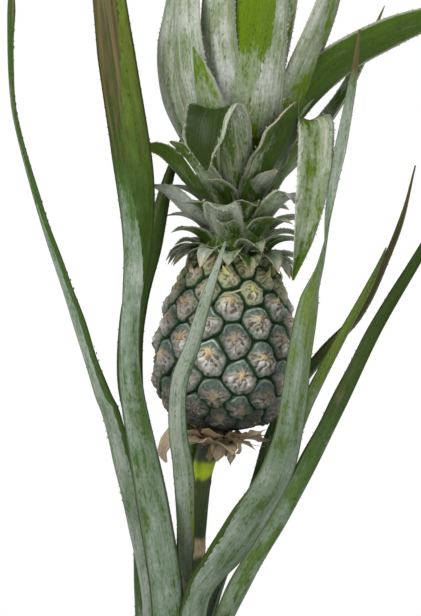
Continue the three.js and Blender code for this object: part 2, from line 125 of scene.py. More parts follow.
# A fan at each end closes a tube. The two middle points are the last two.
def lidFaces(rings, count):
    side = np.arange(count)
    first, last = rings * count, rings * count + 1
    after = (side + 1) % count
    low = np.stack([np.full(count, first), after, side], -1)
    top = (rings - 1) * count
    return np.vstack([low, np.stack([np.full(count, last), top + side, top + after], -1)])


def closedTube(rings, marks):
    rows, count = rings.shape[:2]
    points = np.vstack([rings.reshape(-1, 3), rings[0].mean(0), rings[-1].mean(0)])
    full = {}
    for name, mark in marks.items():
        middles = [mark[end].reshape(count, -1).mean(0) for end in (0, -1)]
        full[name] = np.vstack([mark.reshape(rows * count, -1), *middles])
    return points, [tubeFaces(rows, count), lidFaces(rows, count)], full


def joinParts(parts):
    points, faces, marks, start = [], [], {}, 0
    for partPoints, partFaces, partMarks in parts:
        points.append(partPoints)
        faces += [face + start for face in partFaces]
        for name, mark in partMarks.items():
            marks.setdefault(name, []).append(mark)
        start += len(partPoints)
    return np.vstack(points), faces, {name: np.vstack(mark) for name, mark in marks.items()}


# Values that may be plain numbers, side by side in one array of the given shape.
def stacked(shape, *values):
    return np.stack([value * np.ones(shape) for value in values], -1)


# Makes the object, which stands for the nodes that it names. Points come in millimetres.
def makePiece(name, part, material, slotName, *nodes):
    points, faces, marks = part
    mesh = bpy.data.meshes.new(name)
    allFaces = [face for block in faces for face in block.tolist()]
    mesh.from_pydata((points / 1000).tolist(), [], allFaces)
    for mark, values in marks.items():
        kind, field = ("FLOAT_VECTOR", "vector") if values.shape[1] == 3 else ("FLOAT", "value")
        data = mesh.attributes.new(mark, kind, "POINT").data
        data.foreach_set(field, values.astype(np.float32).ravel())
    mesh.materials.append(material)
    mesh.shade_smooth()
    piece = bpy.data.objects.new(name, mesh)
    bpy.context.scene.collection.objects.link(piece)
    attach(piece, "root")
    if nodes:
        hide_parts(*nodes)


# ---- shader helpers ----
def put(tree, kind, values=(), **settings):
    node = tree.nodes.new("ShaderNode" + kind)
    for name, value in settings.items():
        setattr(node, name, value)
    for name, value in values.items() if isinstance(values, dict) else enumerate(values):
        if isinstance(value, bpy.types.NodeSocket):
            tree.links.new(value, node.inputs[name])
        elif value is not None:
            node.inputs[name].default_value = value
    return node


def calc(tree, operation, *values, clamp=False):
    return put(tree, "Math", values, operation=operation, use_clamp=clamp).outputs[0]


def colourMix(tree, factor, first, second, blend="MIX"):
    values = {0: factor, 6: first, 7: second}
    return put(tree, "Mix", values, data_type="RGBA", blend_type=blend).outputs[2]


def spread(tree, value, low, high, toLow=0.0, toHigh=1.0):
    return put(tree, "MapRange", [value, low, high, toLow, toHigh]).outputs[0]


def grains(tree, place, scale, detail=2.0, rough=0.5):
    values = {"Vector": place, "Scale": scale, "Detail": detail, "Roughness": rough}
    return put(tree, "TexNoise", values).outputs[0]


# Noise spread so that it fills 0 to 1.
def clouds(tree, place, scale, detail=2.0, rough=0.5):
    return spread(tree, grains(tree, place, scale, detail, rough), 0.3, 0.7)


# Darkens or lightens a colour: by low where the value is 0, by high where it is 1.
def shaded(tree, colour, value, low, high):
    return colourMix(tree, 1.0, colour, spread(tree, value, 0, 1, low, high), "MULTIPLY")


def stretched(tree, x, y, z):
    return put(tree, "CombineXYZ", [x, y, z]).outputs[0]


def split(tree, vector):
    return put(tree, "SeparateXYZ", [vector]).outputs[:3]


def newGroup(name, inputs, outputs):
    tree = bpy.data.node_groups.new(name, "ShaderNodeTree")
    for label, kind in inputs:
        tree.interface.new_socket(label, in_out="INPUT", socket_type="NodeSocket" + kind)
    for label, kind in outputs:
        tree.interface.new_socket(label, in_out="OUTPUT", socket_type="NodeSocket" + kind)
    return tree, tree.nodes.new("NodeGroupInput").outputs, tree.nodes.new("NodeGroupOutput").inputs


def newMaterial(name):
    material = bpy.data.materials.new(name)
    material.use_nodes = True
    return material, material.node_tree, material.node_tree.nodes["Principled BSDF"]


def useGroup(tree, group, values):
    node = put(tree, "Group", node_tree=group)
    for name, value in values.items():
        if isinstance(value, bpy.types.NodeSocket):
            tree.links.new(value, node.inputs[name])
        else:
            node.inputs[name].default_value = value
    return node.outputs


def mark(tree, name, output="Vector"):
    return put(tree, "Attribute", attribute_name=name).outputs[output]


def bump(tree, height, strength, distance):
    values = {"Height": height, "Strength": strength, "Distance": distance}
    return put(tree, "Bump", values).outputs[0]


def finishSurface(tree, surface, colour, roughness, normal):
    tree.links.new(colour, surface.inputs["Base Color"])
    tree.links.new(roughness, surface.inputs["Roughness"])
    tree.links.new(normal, surface.inputs["Normal"])


def rgb(red, green, blue):
    return (red, green, blue, 1.0)


# ---- blade finish: green, a pale waxy bloom, lengthwise veins, dry and dark parts ----
# Place is [across mm, along mm, 1 on the inner face], Look is [bloom, dry, dark] and More is
# [0 midline to 1 edge, fresh, the leaf's own number]. Other Look and Other More are for the part
# of a blade beyond its parting line, where the first number of Other More is over 1.
def buildBladeFinish():
    tones = ["Upper", "Under"]
    tones += [name + " Tone" for name in ("Bloom", "Pale", "Fresh", "Dark", "Dry", "Edge")]
    vectors = ["Place", "Look", "More", "Other Look", "Other More"]
    inputs = [(name, "Vector") for name in vectors] + [(name, "Color") for name in tones]
    outputs = [("Colour", "Color"), ("Roughness", "Float"), ("Height", "Float")]
    tree, given, wanted = newGroup("bladeFinish", inputs, outputs)
    across, along, inner = split(tree, given["Place"])
    edge, fresh, own = split(tree, given["More"])
    beyond, otherFresh = split(tree, given["Other More"])[:2]
    layer = calc(tree, "MULTIPLY_ADD", inner, 9.0, own)

    def pattern(perAcross, perAlong, detail, rough=0.5):
        sideways = calc(tree, "MULTIPLY", across, perAcross)
        lengthways = calc(tree, "MULTIPLY", along, perAlong)
        return clouds(tree, stretched(tree, sideways, lengthways, layer), 1.0, detail, rough)

    coarse = pattern(0.05, 0.012, 3.0)
    blotch = pattern(0.12, 0.036, 6.0, 0.62)
    streak = pattern(0.34, 0.012, 4.0, 0.6)
    vein = pattern(1.0, 0.005, 2.0)
    speck = pattern(0.6, 0.3, 4.0, 0.6)

    apart = calc(tree, "MULTIPLY_ADD", blotch, 0.24, beyond)
    apart = calc(tree, "MULTIPLY_ADD", speck, 0.12, apart)
    otherShare = spread(tree, apart, 1.15, 1.21)
    bloom, dry, dark = split(tree, colourMix(tree, otherShare, given["Look"], given["Other Look"]))
    fresh = put(tree, "Mix", {0: otherShare, 2: fresh, 3: otherFresh}).outputs[0]

    green = colourMix(tree, inner, given["Under"], given["Upper"])
    freshWear = spread(tree, streak, 0, 1, 0.55, 1.1)
    freshShare = calc(tree, "MULTIPLY", fresh, freshWear, clamp=True)
    green = colourMix(tree, freshShare, green, given["Fresh Tone"])
    # The dark tone is partly the leaves' own dark green and partly painted shade where a leaf lies
    # in shadow.
    darkMottle = spread(tree, blotch, 0, 1, 0.6, 1.2)
    darkShare = calc(tree, "MULTIPLY", dark, darkMottle, clamp=True)
    green = colourMix(tree, darkShare, green, given["Dark Tone"])

    held = calc(tree, "MULTIPLY", bloom, spread(tree, inner, 0, 1, 1.0, 0.8))
    for mottling, weight in ((coarse, 0.45), (blotch, 1.1), (streak, 0.3), (speck, 0.3)):
        held = calc(tree, "MULTIPLY_ADD", mottling, weight, held)
    anyBloom = spread(tree, bloom, 0.0, 0.25)
    bloomShare = calc(tree, "MULTIPLY", spread(tree, held, 1.34, 1.74), anyBloom, clamp=True)
    bloomShare = calc(tree, "MULTIPLY", bloomShare, spread(tree, coarse, 0, 1, 0.68, 1.0))
    paleShare = spread(tree, held, 1.85, 2.45)
    bloomTone = colourMix(tree, paleShare, given["Bloom Tone"], given["Pale Tone"])
    colour = colourMix(tree, bloomShare, green, bloomTone)
    colour = shaded(tree, colour, vein, 0.84, 1.1)
    colour = shaded(tree, colour, speck, 0.86, 1.1)
    flawStreak = spread(tree, streak, 0.6, 0.2, 0.0, 0.8)
    flaw = calc(tree, "MULTIPLY", spread(tree, speck, 0.30, 0.13), flawStreak, clamp=True)
    colour = colourMix(tree, flaw, colour, given["Dark Tone"])

    dryness = calc(tree, "MULTIPLY_ADD", blotch, 0.34, dry)
    dryness = calc(tree, "MULTIPLY_ADD", streak, 0.3, dryness)
    dryShare = spread(tree, dryness, 0.55, 0.8)
    colour = colourMix(tree, dryShare, colour, shaded(tree, given["Dry Tone"], streak, 0.4, 1.35))
    edgePlace = calc(tree, "MULTIPLY_ADD", speck, 0.08, edge)
    edgeShare = spread(tree, edgePlace, 0.90, 1.03, 0.0, 0.7)
    colour = colourMix(tree, edgeShare, colour, given["Edge Tone"])

    tree.links.new(colour, wanted["Colour"])
    tree.links.new(spread(tree, bloomShare, 0, 0.9, 0.38, 0.62), wanted["Roughness"])
    height = calc(tree, "MULTIPLY_ADD", vein, 0.5, calc(tree, "MULTIPLY", streak, 0.3))
    tree.links.new(calc(tree, "MULTIPLY_ADD", otherShare, -0.5, height), wanted["Height"])
    return tree


bladeFinish = buildBladeFinish()

leafTones = {
    "Upper": rgb(0.040, 0.075, 0.005),
    "Under": rgb(0.050, 0.094, 0.024),
    "Bloom Tone": rgb(0.138, 0.182, 0.130),
    "Pale Tone": rgb(0.245, 0.272, 0.228),
    "Fresh Tone": rgb(0.270, 0.330, 0.030),
    "Dark Tone": rgb(0.020, 0.040, 0.004),
    "Dry Tone": rgb(0.078, 0.064, 0.024),
    "Edge Tone": rgb(0.055, 0.070, 0.022),
}
crownTones = {
    "Upper": rgb(0.036, 0.070, 0.007),
    "Under": rgb(0.062, 0.118, 0.014),
    "Bloom Tone": rgb(0.190, 0.228, 0.146),
    "Pale Tone": rgb(0.370, 0.390, 0.350),
    "Fresh Tone": rgb(0.082, 0.138, 0.003),
    "Dark Tone": rgb(0.018, 0.032, 0.006),
    "Dry Tone": rgb(0.300, 0.245, 0.155),
    "Edge Tone": rgb(0.460, 0.460, 0.360),
}
bractTones = {
    "Upper": rgb(0.530, 0.440, 0.300),
    "Under": rgb(0.620, 0.530, 0.380),
    "Bloom Tone": rgb(0.540, 0.450, 0.320),
    "Pale Tone": rgb(0.560, 0.490, 0.390),
    "Fresh Tone": rgb(0.330, 0.350, 0.090),
    "Dark Tone": rgb(0.035, 0.028, 0.016),
    "Dry Tone": rgb(0.290, 0.205, 0.115),
    "Edge Tone": rgb(0.440, 0.350, 0.240),
}


def bladeMaterial(name, tones, bumpStrength):
    material, tree, surface = newMaterial(name)
    values = {
        "Place": mark(tree, "bladePlace"),
        "Look": mark(tree, "bladeLook"),
        "More": mark(tree, "bladeMore"),
        "Other Look": mark(tree, "otherLook"),
        "Other More": mark(tree, "otherMore"),
    }
    out = useGroup(tree, bladeFinish, {**values, **tones})
    normal = bump(tree, out["Height"], bumpStrength, 0.0004)
    finishSurface(tree, surface, out["Colour"], out["Roughness"], normal)
    surface.inputs["Specular IOR Level"].default_value = 0.07
    return material


leafMaterial = bladeMaterial("leafBlade", leafTones, 0.5)
crownMaterial = bladeMaterial("crownBlade", crownTones, 0.5)
bractMaterial = bladeMaterial("dryBract", bractTones, 0.8)
print("blade materials made")

# ---- leaf blades ----
bladeShape = {
    "step": 5.0,  # millimetres between rings
    "across": 12,  # faces from edge to edge
    "rings": (14, 150),  # the fewest and the most
    "middle": 2.0,  # thickness at the midline
    "edge": 0.6,
    "thinUnder": 7.0,  # half width below which the blade gets thinner
    "tipThin": 0.45,  # how much thinner the tip is
    "bend": 1.4,  # 1 is a sharp fold along the midline, 2 a round channel
    "ripple": 0.7,  # how far the edges wave
    "rippleLength": 58.0,
    "rippleFade": 131.0,  # the waves grow and fade over this length
    "toothStep": 7.5,
    "toothLength": 1.1,
    "bloom": [0.5],
    "dry": [0.0, 0.0, 0.0, 0.35],
    "dark": [0.0],
    "fresh": [0.0],
    "parting": [2.0],  # where across the blade the other look begins, -1 to 1
    "other": {},
}


def bladeFrames(leaf, share):
    rows = leaf["rows"]
    at, along = lineAt(rows[:, :3], share)
    along = unit(along)
    facing = math.radians(leaf["faces"])
    level = np.array([-math.sin(facing), math.cos(facing), 0])
    across = unit(level - along * (along @ level)[:, None])
    turn = np.radians(readList(rows[:, 4], share))[:, None]
    across = across * np.cos(turn) + np.cross(along, across) * np.sin(turn)
    return at, along, across, np.cross(along, across)


# The middle surface of a blade: sideways it runs to the half width times the cosine of the fold,
# and it lifts by the half width times the sine of the fold times the side to the power of bend.
def bladeSurface(leaf, share, side):
    at, along, across, inward = bladeFrames(leaf, share)
    half = readList(leaf["rows"][:, 3], share) / 2
    fold = np.radians(readList(leaf["fold"], share))
    run = np.cumsum(np.r_[0, np.linalg.norm(np.diff(at, axis=0), axis=1)])
    own = leaf["own"]
    wave = np.sin(run / leaf["rippleLength"] * 2 * np.pi + own)
    wave = wave * np.sin(run / leaf["rippleFade"] + 2 * own)
    ripple = leaf["ripple"] * wave * np.minimum(half / 12, 1)
    sideways = half * np.cos(fold)
    lift = half * np.sin(fold)
    absSide = np.abs(side)
    level = (sideways[:, None] * side)[..., None]
    up = (lift[:, None] * absSide ** leaf["bend"] + ripple[:, None] * side * absSide)[..., None]
    points = at[:, None] + across[:, None] * level + inward[:, None] * up
    return points, inward, half, run


# What the blade finish reads, for each share of the line and each place across it.
def bladeMarks(leaf, share, side, half, run, inner):
    other = {**leaf, **leaf["other"]}

    def read(look, *names):
        return [readList(look[name], share)[:, None] for name in names]

    beyond = 1 + side - read(leaf, "parting")[0]
    return {
        "bladePlace": stacked(side.shape, side * half[:, None], run[:, None], inner),
        "bladeLook": stacked(side.shape, *read(leaf, "bloom", "dry", "dark")),
        "bladeMore": stacked(side.shape, np.abs(side), *read(leaf, "fresh"), leaf["own"]),
        "otherLook": stacked(side.shape, *read(other, "bloom", "dry", "dark")),
        "otherMore": stacked(side.shape, beyond, *read(other, "fresh"), 0),
    }


# Rows are [x, y, z, width] or [x, y, z, width, turn].
def fullRows(rows):
    return np.array([list(row) + [0] * (5 - len(row)) for row in rows], float)


# One blade with its teeth. Half of its faces are on each side of the middle surface.
def bladePart(leaf):
    rows = fullRows(leaf["rows"])
    leaf = {**bladeShape, **leaf, "rows": rows}
    length = evenShares(rows[:, :3], [1.0])[1]
    rings = int(np.clip(length / leaf["step"], *leaf["rings"]))
    even = np.linspace(0, 1, rings + 1)
    share = evenShares(rows[:, :3], even)[0]
    faces = leaf["across"]
    upper = np.linspace(1, -1, faces + 1)
    side = np.r_[upper, -upper[1:-1]][None].repeat(len(share), 0)
    inner = np.r_[np.ones(faces + 1), np.zeros(faces - 1)]
    middle, inward, half, run = bladeSurface(leaf, share, side)
    thin = np.minimum(1, half / leaf["thinUnder"]) * (1 - leaf["tipThin"] * smooth(3 * even - 2))
    thick = mix(leaf["edge"], leaf["middle"], 1 - side**2) * thin[:, None]
    thick = np.where(np.abs(side) > 0.999, 0, thick)
    points = middle + inward[:, None] * ((inner - 0.5) * thick)[..., None]
    parts = [closedTube(points, bladeMarks(leaf, share, side, half, run, inner))]
    if leaf["toothLength"] > 0:
        parts.append(teeth(leaf, length))
    return joinParts(parts)


# Where along the blade the teeth are, in shares, and their form, in tooth lengths.
toothShape = {
    "first": 0.04,
    "span": 0.93,
    "inside": 0.35,  # how deep the foot lies in the blade
    "out": 0.75,
    "forwards": 0.85,
    "footBehind": 0.55,
    "footAhead": 0.45,
    "thick": 0.28,
}


# Each tooth is a three-sided spike on the edge that points outwards and towards the tip.
def teeth(leaf, length):
    rule = toothShape
    count = max(4, int(length * rule["span"] / leaf["toothStep"]))
    number = np.arange(count)
    base = (number + 0.5) / count * rule["span"] + rule["first"]
    own = leaf["own"]
    corners = np.array([[0, 1, 2], [0, 3, 1], [1, 3, 2], [2, 3, 0]])
    parts = []
    for sign in (1, -1):
        even = base + 0.25 / count * scatter(number, own + sign)
        share = evenShares(leaf["rows"][:, :3], even)[0]
        along, across = bladeFrames(leaf, share)[1:3]
        edge, inward, half = bladeSurface(leaf, share, np.full((count, 1), sign))[:3]
        size = leaf["toothLength"] * (0.75 + 0.35 * scatter(number, own + 3 * sign))
        size = (size * np.minimum(1, half / 6 + 0.2))[:, None]
        out = sign * across
        root = edge[:, 0] - out * rule["inside"] * size
        tip = edge[:, 0] + out * rule["out"] * size + along * rule["forwards"] * size
        low = root - along * rule["footBehind"] * size
        high = root + along * rule["footAhead"] * size
        wide = inward * rule["thick"] * size
        points = np.stack([low, high + wide, high - wide, tip], 1).reshape(-1, 3)
        faces = (number[:, None, None] * 4 + corners[:, ::sign]).reshape(-1, 3)
        marks = bladeMarks(leaf, share, np.full((count, 4), sign), half, length * even, 0)
        marks = {name: mark.reshape(-1, 3) for name, mark in marks.items()}
        parts.append((points, [faces], marks))
    return joinParts(parts)


# One part for each leaf. Each leaf's own number shifts its patterns, waves and teeth.
def bladeParts(leaves, firstOwn, ownStep):
    return [bladePart({**leaf, "own": firstOwn + ownStep * k}) for k, leaf in enumerate(leaves)]


# One piece for each leaf, which stands for the node of its name.
def makeLeaves(leaves, firstOwn, ownStep, material, slotName):
    for name, part in zip(leaves, bladeParts(leaves.values(), firstOwn, ownStep)):
        makePiece(name + "_blade", part, material, slotName, name)


# A leaf by rule: it leaves its foot at one lean from the vertical, bends steadily to another and
# swings sideways by sweep.
def arched(rule):
    rule = {"sweep": 0, "twist": 0, "base": 0.72, "widest": 0.25, "taper": 1.5, "count": 6, **rule}
    fine = 10
    steps = (rule["count"] - 1) * fine
    share = np.arange(steps + 1) / steps
    tilt = np.radians(mix(rule["lean"][0], rule["lean"][1], share + 0.5 / steps))
    way = around(rule["turn"] + rule["sweep"] * share, np.sin(tilt), np.cos(tilt))
    move = way * rule["length"] / steps
    at = np.asarray(rule["foot"], float) + np.vstack([np.zeros(3), np.cumsum(move[:-1], axis=0)])
    rise = mix(rule["base"], 1, smooth(share / rule["widest"]))
    run = np.maximum(0, (share - rule["widest"]) / (1 - rule["widest"]))
    width = rule["width"] * np.maximum(rise * (1 - run ** rule["taper"]), 0.04)
    rows = np.column_stack([at, width, rule["twist"] * share])[::fine]
    return {"fold": [32, 22, 22, 28], "faces": rule["turn"], **rule, "rows": rows}


# The leaf, from rows that are given in a leaning frame.
def leaned(leaf, place):
    rows = fullRows(leaf["rows"])
    rows[:, :3] = leaning(rows[:, :3], place)
    return {**leaf, "rows": rows}


backLook = {"fold": [32, 22, 20, 26], "bloom": [0.8, 0.75, 0.7, 0.6, 0.55, 0.5, 0.4, 0.2]}
# The tall leaves round the stalk: rows of [x, y, z, width, turn] from foot to tip.
tallLeaves = {
    "leaf_right_front": {
        "faces": -62,
        "fold": [30, 16, 14, 14, 10],
        "bloom": [0],
        "dark": [0.8],
        "parting": [-1.2, -1.1, -0.82, -0.7, -0.8, -1.1] + [-1.3] * 9,
        "other": {
            "bloom": [0.6, 0.6, 0.6, 0.65, 0.7, 0.75, 0.6, 0.6, 0.5, 0.45, 0.6, 1.1, 1.3, 1.1, 0.3],
            "dark": [0.1, 0.1, 0.1, 0.1, 0.1, 0.2, 0.1] + [0] * 8,
            "dry": [0] * 13 + [0.3, 0.9],
            "fresh": [0, 0, 0, 0, 0, 0, 0.07, 0.13, 0.26, 0.33, 0.2, 0, 0, 0, 0],
        },
        "rows": [
            [14, -19, 140, 26, -20], [12, -36, 205, 25, -8], [16, -47, 252, 27, 0],
            [38, -56, 285, 38, 0], [57, -62, 316, 38, 0], [75, -67, 347, 32, 0],
            [85, -71, 378, 28, 2], [90, -74, 409, 25, 4], [95, -71, 447, 24, 6],
            [102, -68, 485, 21, 12], [111, -64, 515, 13, 42], [118, -57, 562, 11, 98],
            [125.5, -50, 601, 11, 120], [134.5, -45, 650, 8, 124], [141, -40, 696, 2, 124],
        ],
    },
    "leaf_left_front": {
        "faces": -112,
        "fold": [32, 22, 16, 12, 14],
        "bloom": [0.65, 0.65, 0.6, 0.6, 0.6, 0.65, 0.7, 0.75, 0.6, 0.05, 0, 0, 0],
        "dark": [0, 0, 0, 0, 0.1, 0.1, 0.1, 0, 0, 0.9, 1.3, 1.3, 1],
        "dry": [0] * 9 + [0.3, 0.5, 0.5, 0.6],
        "parting": [1.6, 1.6, 1.6, 1.6, 1.6, 1.5, 1.1, 0.45, -0.1, -0.5, 0.3, 0.5, 0.5],
        "other": {
            "bloom": [0],
            "dark": [0.9] * 7 + [0.95, 1, 0.85, 0.6, 0.45, 0.3],
            "fresh": [0] * 8 + [0.06, 0.26, 0.46, 0.5, 0.4],
            "dry": [0] * 8 + [0.1, 0.22, 0.18, 0.15, 0.2],
        },
        "rows": [
            [-14, -19, 138, 28, 10], [-11, -38, 196, 30, 16], [-9, -48, 249, 29, 22],
            [-21, -60, 331, 27, 22], [-35, -68, 408, 20, 22], [-38, -68, 447, 17, 22],
            [-36, -66, 485, 16, 16], [-33, -62, 523, 24, 0], [-34, -58, 562, 32, 0],
            [-38, -54, 601, 33, 8], [-50, -43, 679, 31, 12], [-59, -30, 750, 25, 12],
            [-70, -12, 832, 3, 12],
        ],
    },
    "leaf_left_far": {
        "faces": -150,
        "fold": [34, 26, 24, 20],
        "bloom": [1.1, 1.1, 1.1, 1.1, 1.05, 1, 0.85, 0.7, 0.5, 0.3, 0.2, 0.1],
        "dark": [0, 0, 0, 0, 0, 0, 0.1, 0.15, 0.25, 0.35, 0.45, 0.5],
        "dry": [0] * 7 + [0.05, 0.1, 0.2, 0.25, 0.7],
        "parting": [1.6, 1.5, 1.2, 0.7, 0.7, 0.6, 0.6, 0.5, 0.4, 0.4, 0.4, 0.4],
        "other": {"bloom": [0.1], "dark": [0.6]},
        "toothLength": 1.9,
        "rows": [
            [-25, -6, 124, 28, 0], [-28, -16, 190, 27, 4], [-28, -25, 250, 24, 7],
            [-42, -31, 328, 30, 12], [-56.5, -32, 390, 27, 12], [-65.5, -30, 414, 23, 7],
            [-88.5, -22, 485, 19, 4], [-108.5, -15, 544, 15, -4], [-128, -8, 612, 13, -16],
            [-135.5, -3, 653, 13, -16], [-137.5, 3, 715, 15, 0], [-134.5, 14, 790, 3, 6],
        ],
    },
    "leaf_left_back": {
        "faces": -100,
        "fold": [30, 20, 16, 20],
        "bloom": [0.5, 0.5, 0.3, 0.1, 0, 0, 0, 0, 0],
        "dry": [0, 0, 0, 0.35, 0.5, 0.3, 0.2, 0.4, 1],
        "dark": [0.5, 0.6, 0.9, 1.1],
        "parting": [-1.2, -1.2, -1, -0.5, -0.5, -0.7, -0.8, -0.8, -0.8],
        "other": {
            "dark": [0, 0.4, 0.8, 1.1, 1.1, 1.1, 1, 0.8, 0.5],
            "dry": [0, 0, 0, 0, 0, 0, 0.1, 0.35, 1],
        },
        "rows": [
            [-22, 11, 128, 24, -70], [-30, 10, 200, 24, -30], [-28, 2, 290, 24, 0],
            [-31, -8, 366, 21, 0], [-40, -14, 420, 22, 0], [-37, -14, 478, 22, 0],
            [-22, -8, 530, 17, 10], [-9, 2, 583, 9, 20], [4, 12, 622, 2, 20],
        ],
    },
    "leaf_stalk_front": {
        "faces": -95,
        "fold": [24, 18, 14, 12],
        "bloom": [0.6, 0.7, 0.8, 1.1, 1.3, 1.4, 1.4, 1.4, 1.2],
        "fresh": [0.65, 0.75, 0.65, 0.3, 0, 0, 0, 0, 0.1],
        "dry": [0.2, 0, 0, 0, 0, 0, 0, 0, 0.2],
        "parting": [1.6, 1.4, 0.6, 0.4, 0.45, 0.5, 0.6, 0.8, 1.2],
        "other": {"bloom": [0.2, 0.2, 0.3, 0.5, 0.6, 0.6, 0.6, 0.6, 0.6], "dark": [0, 0, 0.1, 0.2]},
        "rows": [
            [9, -4, 256, 9, 0], [5, -18, 272, 11, 0], [5, -36, 305, 15, 0],
            [3.5, -56, 350, 17.5, 0], [-1, -70, 385, 15, -6], [0, -75, 420, 14, -6],
            [10.5, -77, 450, 12.5, 6], [22.5, -75, 490, 9, 6], [36, -64, 530, 2, 6],
        ],
    },
    "leaf_right": {
        "faces": -20,
        "fold": [34, 30, 38, 30, 20],
        "bend": 1.15,
        "bloom": [0.7, 0.6, 0.55, 0.4, 0.1, 0, 0, 0, 0],
        "fresh": [0.08, 0.1, 0.1, 0.06, 0, 0, 0, 0, 0],
        "dark": [0, 0, 0, 0, 0.8, 0.9, 0.8, 0.8, 0.6],
        "dry": [0, 0, 0, 0.12, 0.2, 0.1, 0.1, 0.2, 0.7],
        "parting": [1.6, 1.6, 1.6, 1.2, 0.5, 0.35, 0.4, 0.5, 0.6],
        "other": {"bloom": [0.6], "dark": [0.1]},
        "rows": [
            [24, 1, 132, 28, 0], [30, -8, 190, 30, -14], [46, -16, 244, 30, -24],
            [94, -4, 326, 30, -24], [131.5, 8, 398, 26, -24], [161.5, 20, 459, 22, -20],
            [192.5, 32, 511, 20, -12], [227, 44, 568, 15, -4], [264, 54, 620, 2, 0],
        ],
    },
    "leaf_right_inner": {
        "faces": -40,
        "fold": [32, 26, 24, 22],
        "bloom": [0.7, 0.7, 0.5, 0.3, 0.2, 0.2, 0.2, 0.1, 0.1, 0],
        "dark": [0, 0, 0.1, 0.2, 0.3, 0.3, 0.25, 0.2, 0.2, 0.2],
        "fresh": [0, 0, 0, 0, 0, 0.2, 0.26, 0.26, 0.26, 0.13],
        "rows": [
            [17, 16, 128, 20, 0], [20, 14, 196, 21, 0], [28, 2, 244, 22, 0],
            [47, -8, 288, 22, 0], [66, -14, 320, 22, 0], [89, -11, 366, 21, 0],
            [106, 0, 405, 18, 0], [129, 12, 449, 15, 0], [155, 24, 497, 10, 0],
            [168, 31, 528, 2, 0],
        ],
    },
    "leaf_right_back": {
        "faces": -40,
        "fold": [32, 24, 20, 20],
        "bloom": [0.6, 0.6, 0.5, 0.4, 0.3, 0.2, 0.1, 0.1, 0, 0, 0],
        "dark": [0, 0, 0, 0, 0.1, 0.2, 0.3, 0.3, 0.3, 0.2, 0.2],
        "dry": [0, 0, 0, 0, 0.05, 0.2, 0.32, 0.38, 0.45, 0.6, 0.9],
        "rows": [
            [11, 20, 120, 22, 40], [20, 32, 190, 22, 20], [35, 24, 256, 22, 6],
            [60, 14, 318, 21, 0], [76, 18, 372, 20, 0], [96, 28, 412, 15, -6],
            [119, 38, 442, 14, -14], [146, 45, 471, 12, -14], [166, 53, 508, 11, -8],
            [184, 62, 551, 8, 0], [196, 72, 598, 2, 0],
        ],
    },
    "leaf_back": {
        **backLook,
        "faces": 90,
        "rows": [
            [2, 23, 142, 22], [6, 45, 200, 25], [8, 60, 265, 26], [10, 67, 335, 26],
            [20, 73, 405, 27], [34, 82, 480, 24], [48, 92, 560, 15], [56, 103, 630, 2],
        ],
    },
    "leaf_back_left": {
        **backLook,
        "faces": 110,
        "rows": [
            [-13, 19, 112, 20], [-11, 35, 190, 21], [-11, 43, 240, 21], [-24, 58, 319, 20],
            [-40, 80, 398, 18], [-43, 97, 460, 17], [-40, 112, 515, 14], [-41, 134, 596, 2],
        ],
    },
    "leaf_back_right": {
        **backLook,
        "faces": 70,
        "bloom": [0.8, 0.75, 0.7, 0.6, 0.5, 0.45, 0.4, 0.2],
        "rows": [
            [10, 21, 106, 22], [13, 36, 185, 22], [18, 44, 240, 22], [54, 60, 303, 22],
            [83, 80, 358, 20], [94, 94, 401, 17], [99, 105, 443, 12], [103, 114, 478, 2],
        ],
    },
}

rosetteRadius = 22  # where the feet of the lower leaves sit in the stem
spreadingLeaves = {
    "turn": [-16, 22, 164, 204, -60, -118, 64, 112],
    "height": [100, 94, 100, 92, 84, 80, 78, 76],
    "length": [560, 560, 570, 550, 500, 520, 520, 530],
    "lean": [(56, 84), (54, 94), (53, 86), (58, 86), (58, 92), (60, 94), (66, 98), (68, 98)],
    "width": 37,
}
lowLeaves = {
    "count": 12, "foot": 16, "rise": 5, "turn": 62, "length": 430, "width": 35, "lean": (66, 101),
}


def spreadingLeaf(i):
    rule = spreadingLeaves
    return arched({
        "turn": rule["turn"][i],
        "foot": around(rule["turn"][i], rosetteRadius, rule["height"][i]),
        "length": rule["length"][i],
        "lean": rule["lean"][i],
        "width": rule["width"] + 2 * scatter(i, 1),
        "twist": 14 * scatter(i, 2),
        "sweep": 12 * scatter(i, 3),
        "bloom": [0.7, 0.5, 0.35, 0.25, 0.15, 0.1],
        "dry": [0, 0, 0, 0.02, 0.1, 0.75],
        "fresh": [0.35, 0.1, 0, 0, 0, 0],
    })


def lowLeaf(i):
    rule = lowLeaves
    turn = rule["turn"] + i * goldenTurn
    age = 1 - i / rule["count"]
    return arched({
        "turn": turn,
        "foot": around(turn, rosetteRadius, rule["foot"] + i * rule["rise"]),
        "length": rule["length"] + 8 * i + 30 * scatter(i, 4),
        "width": rule["width"] + 3 * scatter(i, 5),
        "lean": (rule["lean"][0] - 0.8 * i, rule["lean"][1] + 3 * scatter(i, 6)),
        "sweep": 14 * scatter(i, 7),
        "twist": 18 * scatter(i, 8),
        "bloom": [0.7, 0.45, 0.3, 0.25, 0.15, 0.1],
        "dry": [0.3 * age, 0, 0.05 * age, 0.12 * age, 0.15 + 0.3 * age, 0.9],
        "dark": [0, 0, 0.1, 0.2, 0.2, 0.1],
        "ripple": 1.6,
    })


def numbered(name, leaves):
    return {f"{name}_{i + 1}": leaf for i, leaf in enumerate(leaves)}


spreading = [spreadingLeaf(i) for i in range(len(spreadingLeaves["turn"]))]
low = [lowLeaf(i) for i in range(lowLeaves["count"])]
makeLeaves(tallLeaves, 1.0, 1.7, leafMaterial, "leaf")
makeLeaves(numbered("leaf_spreading", spreading), 21.3, 1.9, leafMaterial, "leaf")
makeLeaves(numbered("leaf_low", low), 41.1, 2.3, leafMaterial, "leaf")
print("leaves made")

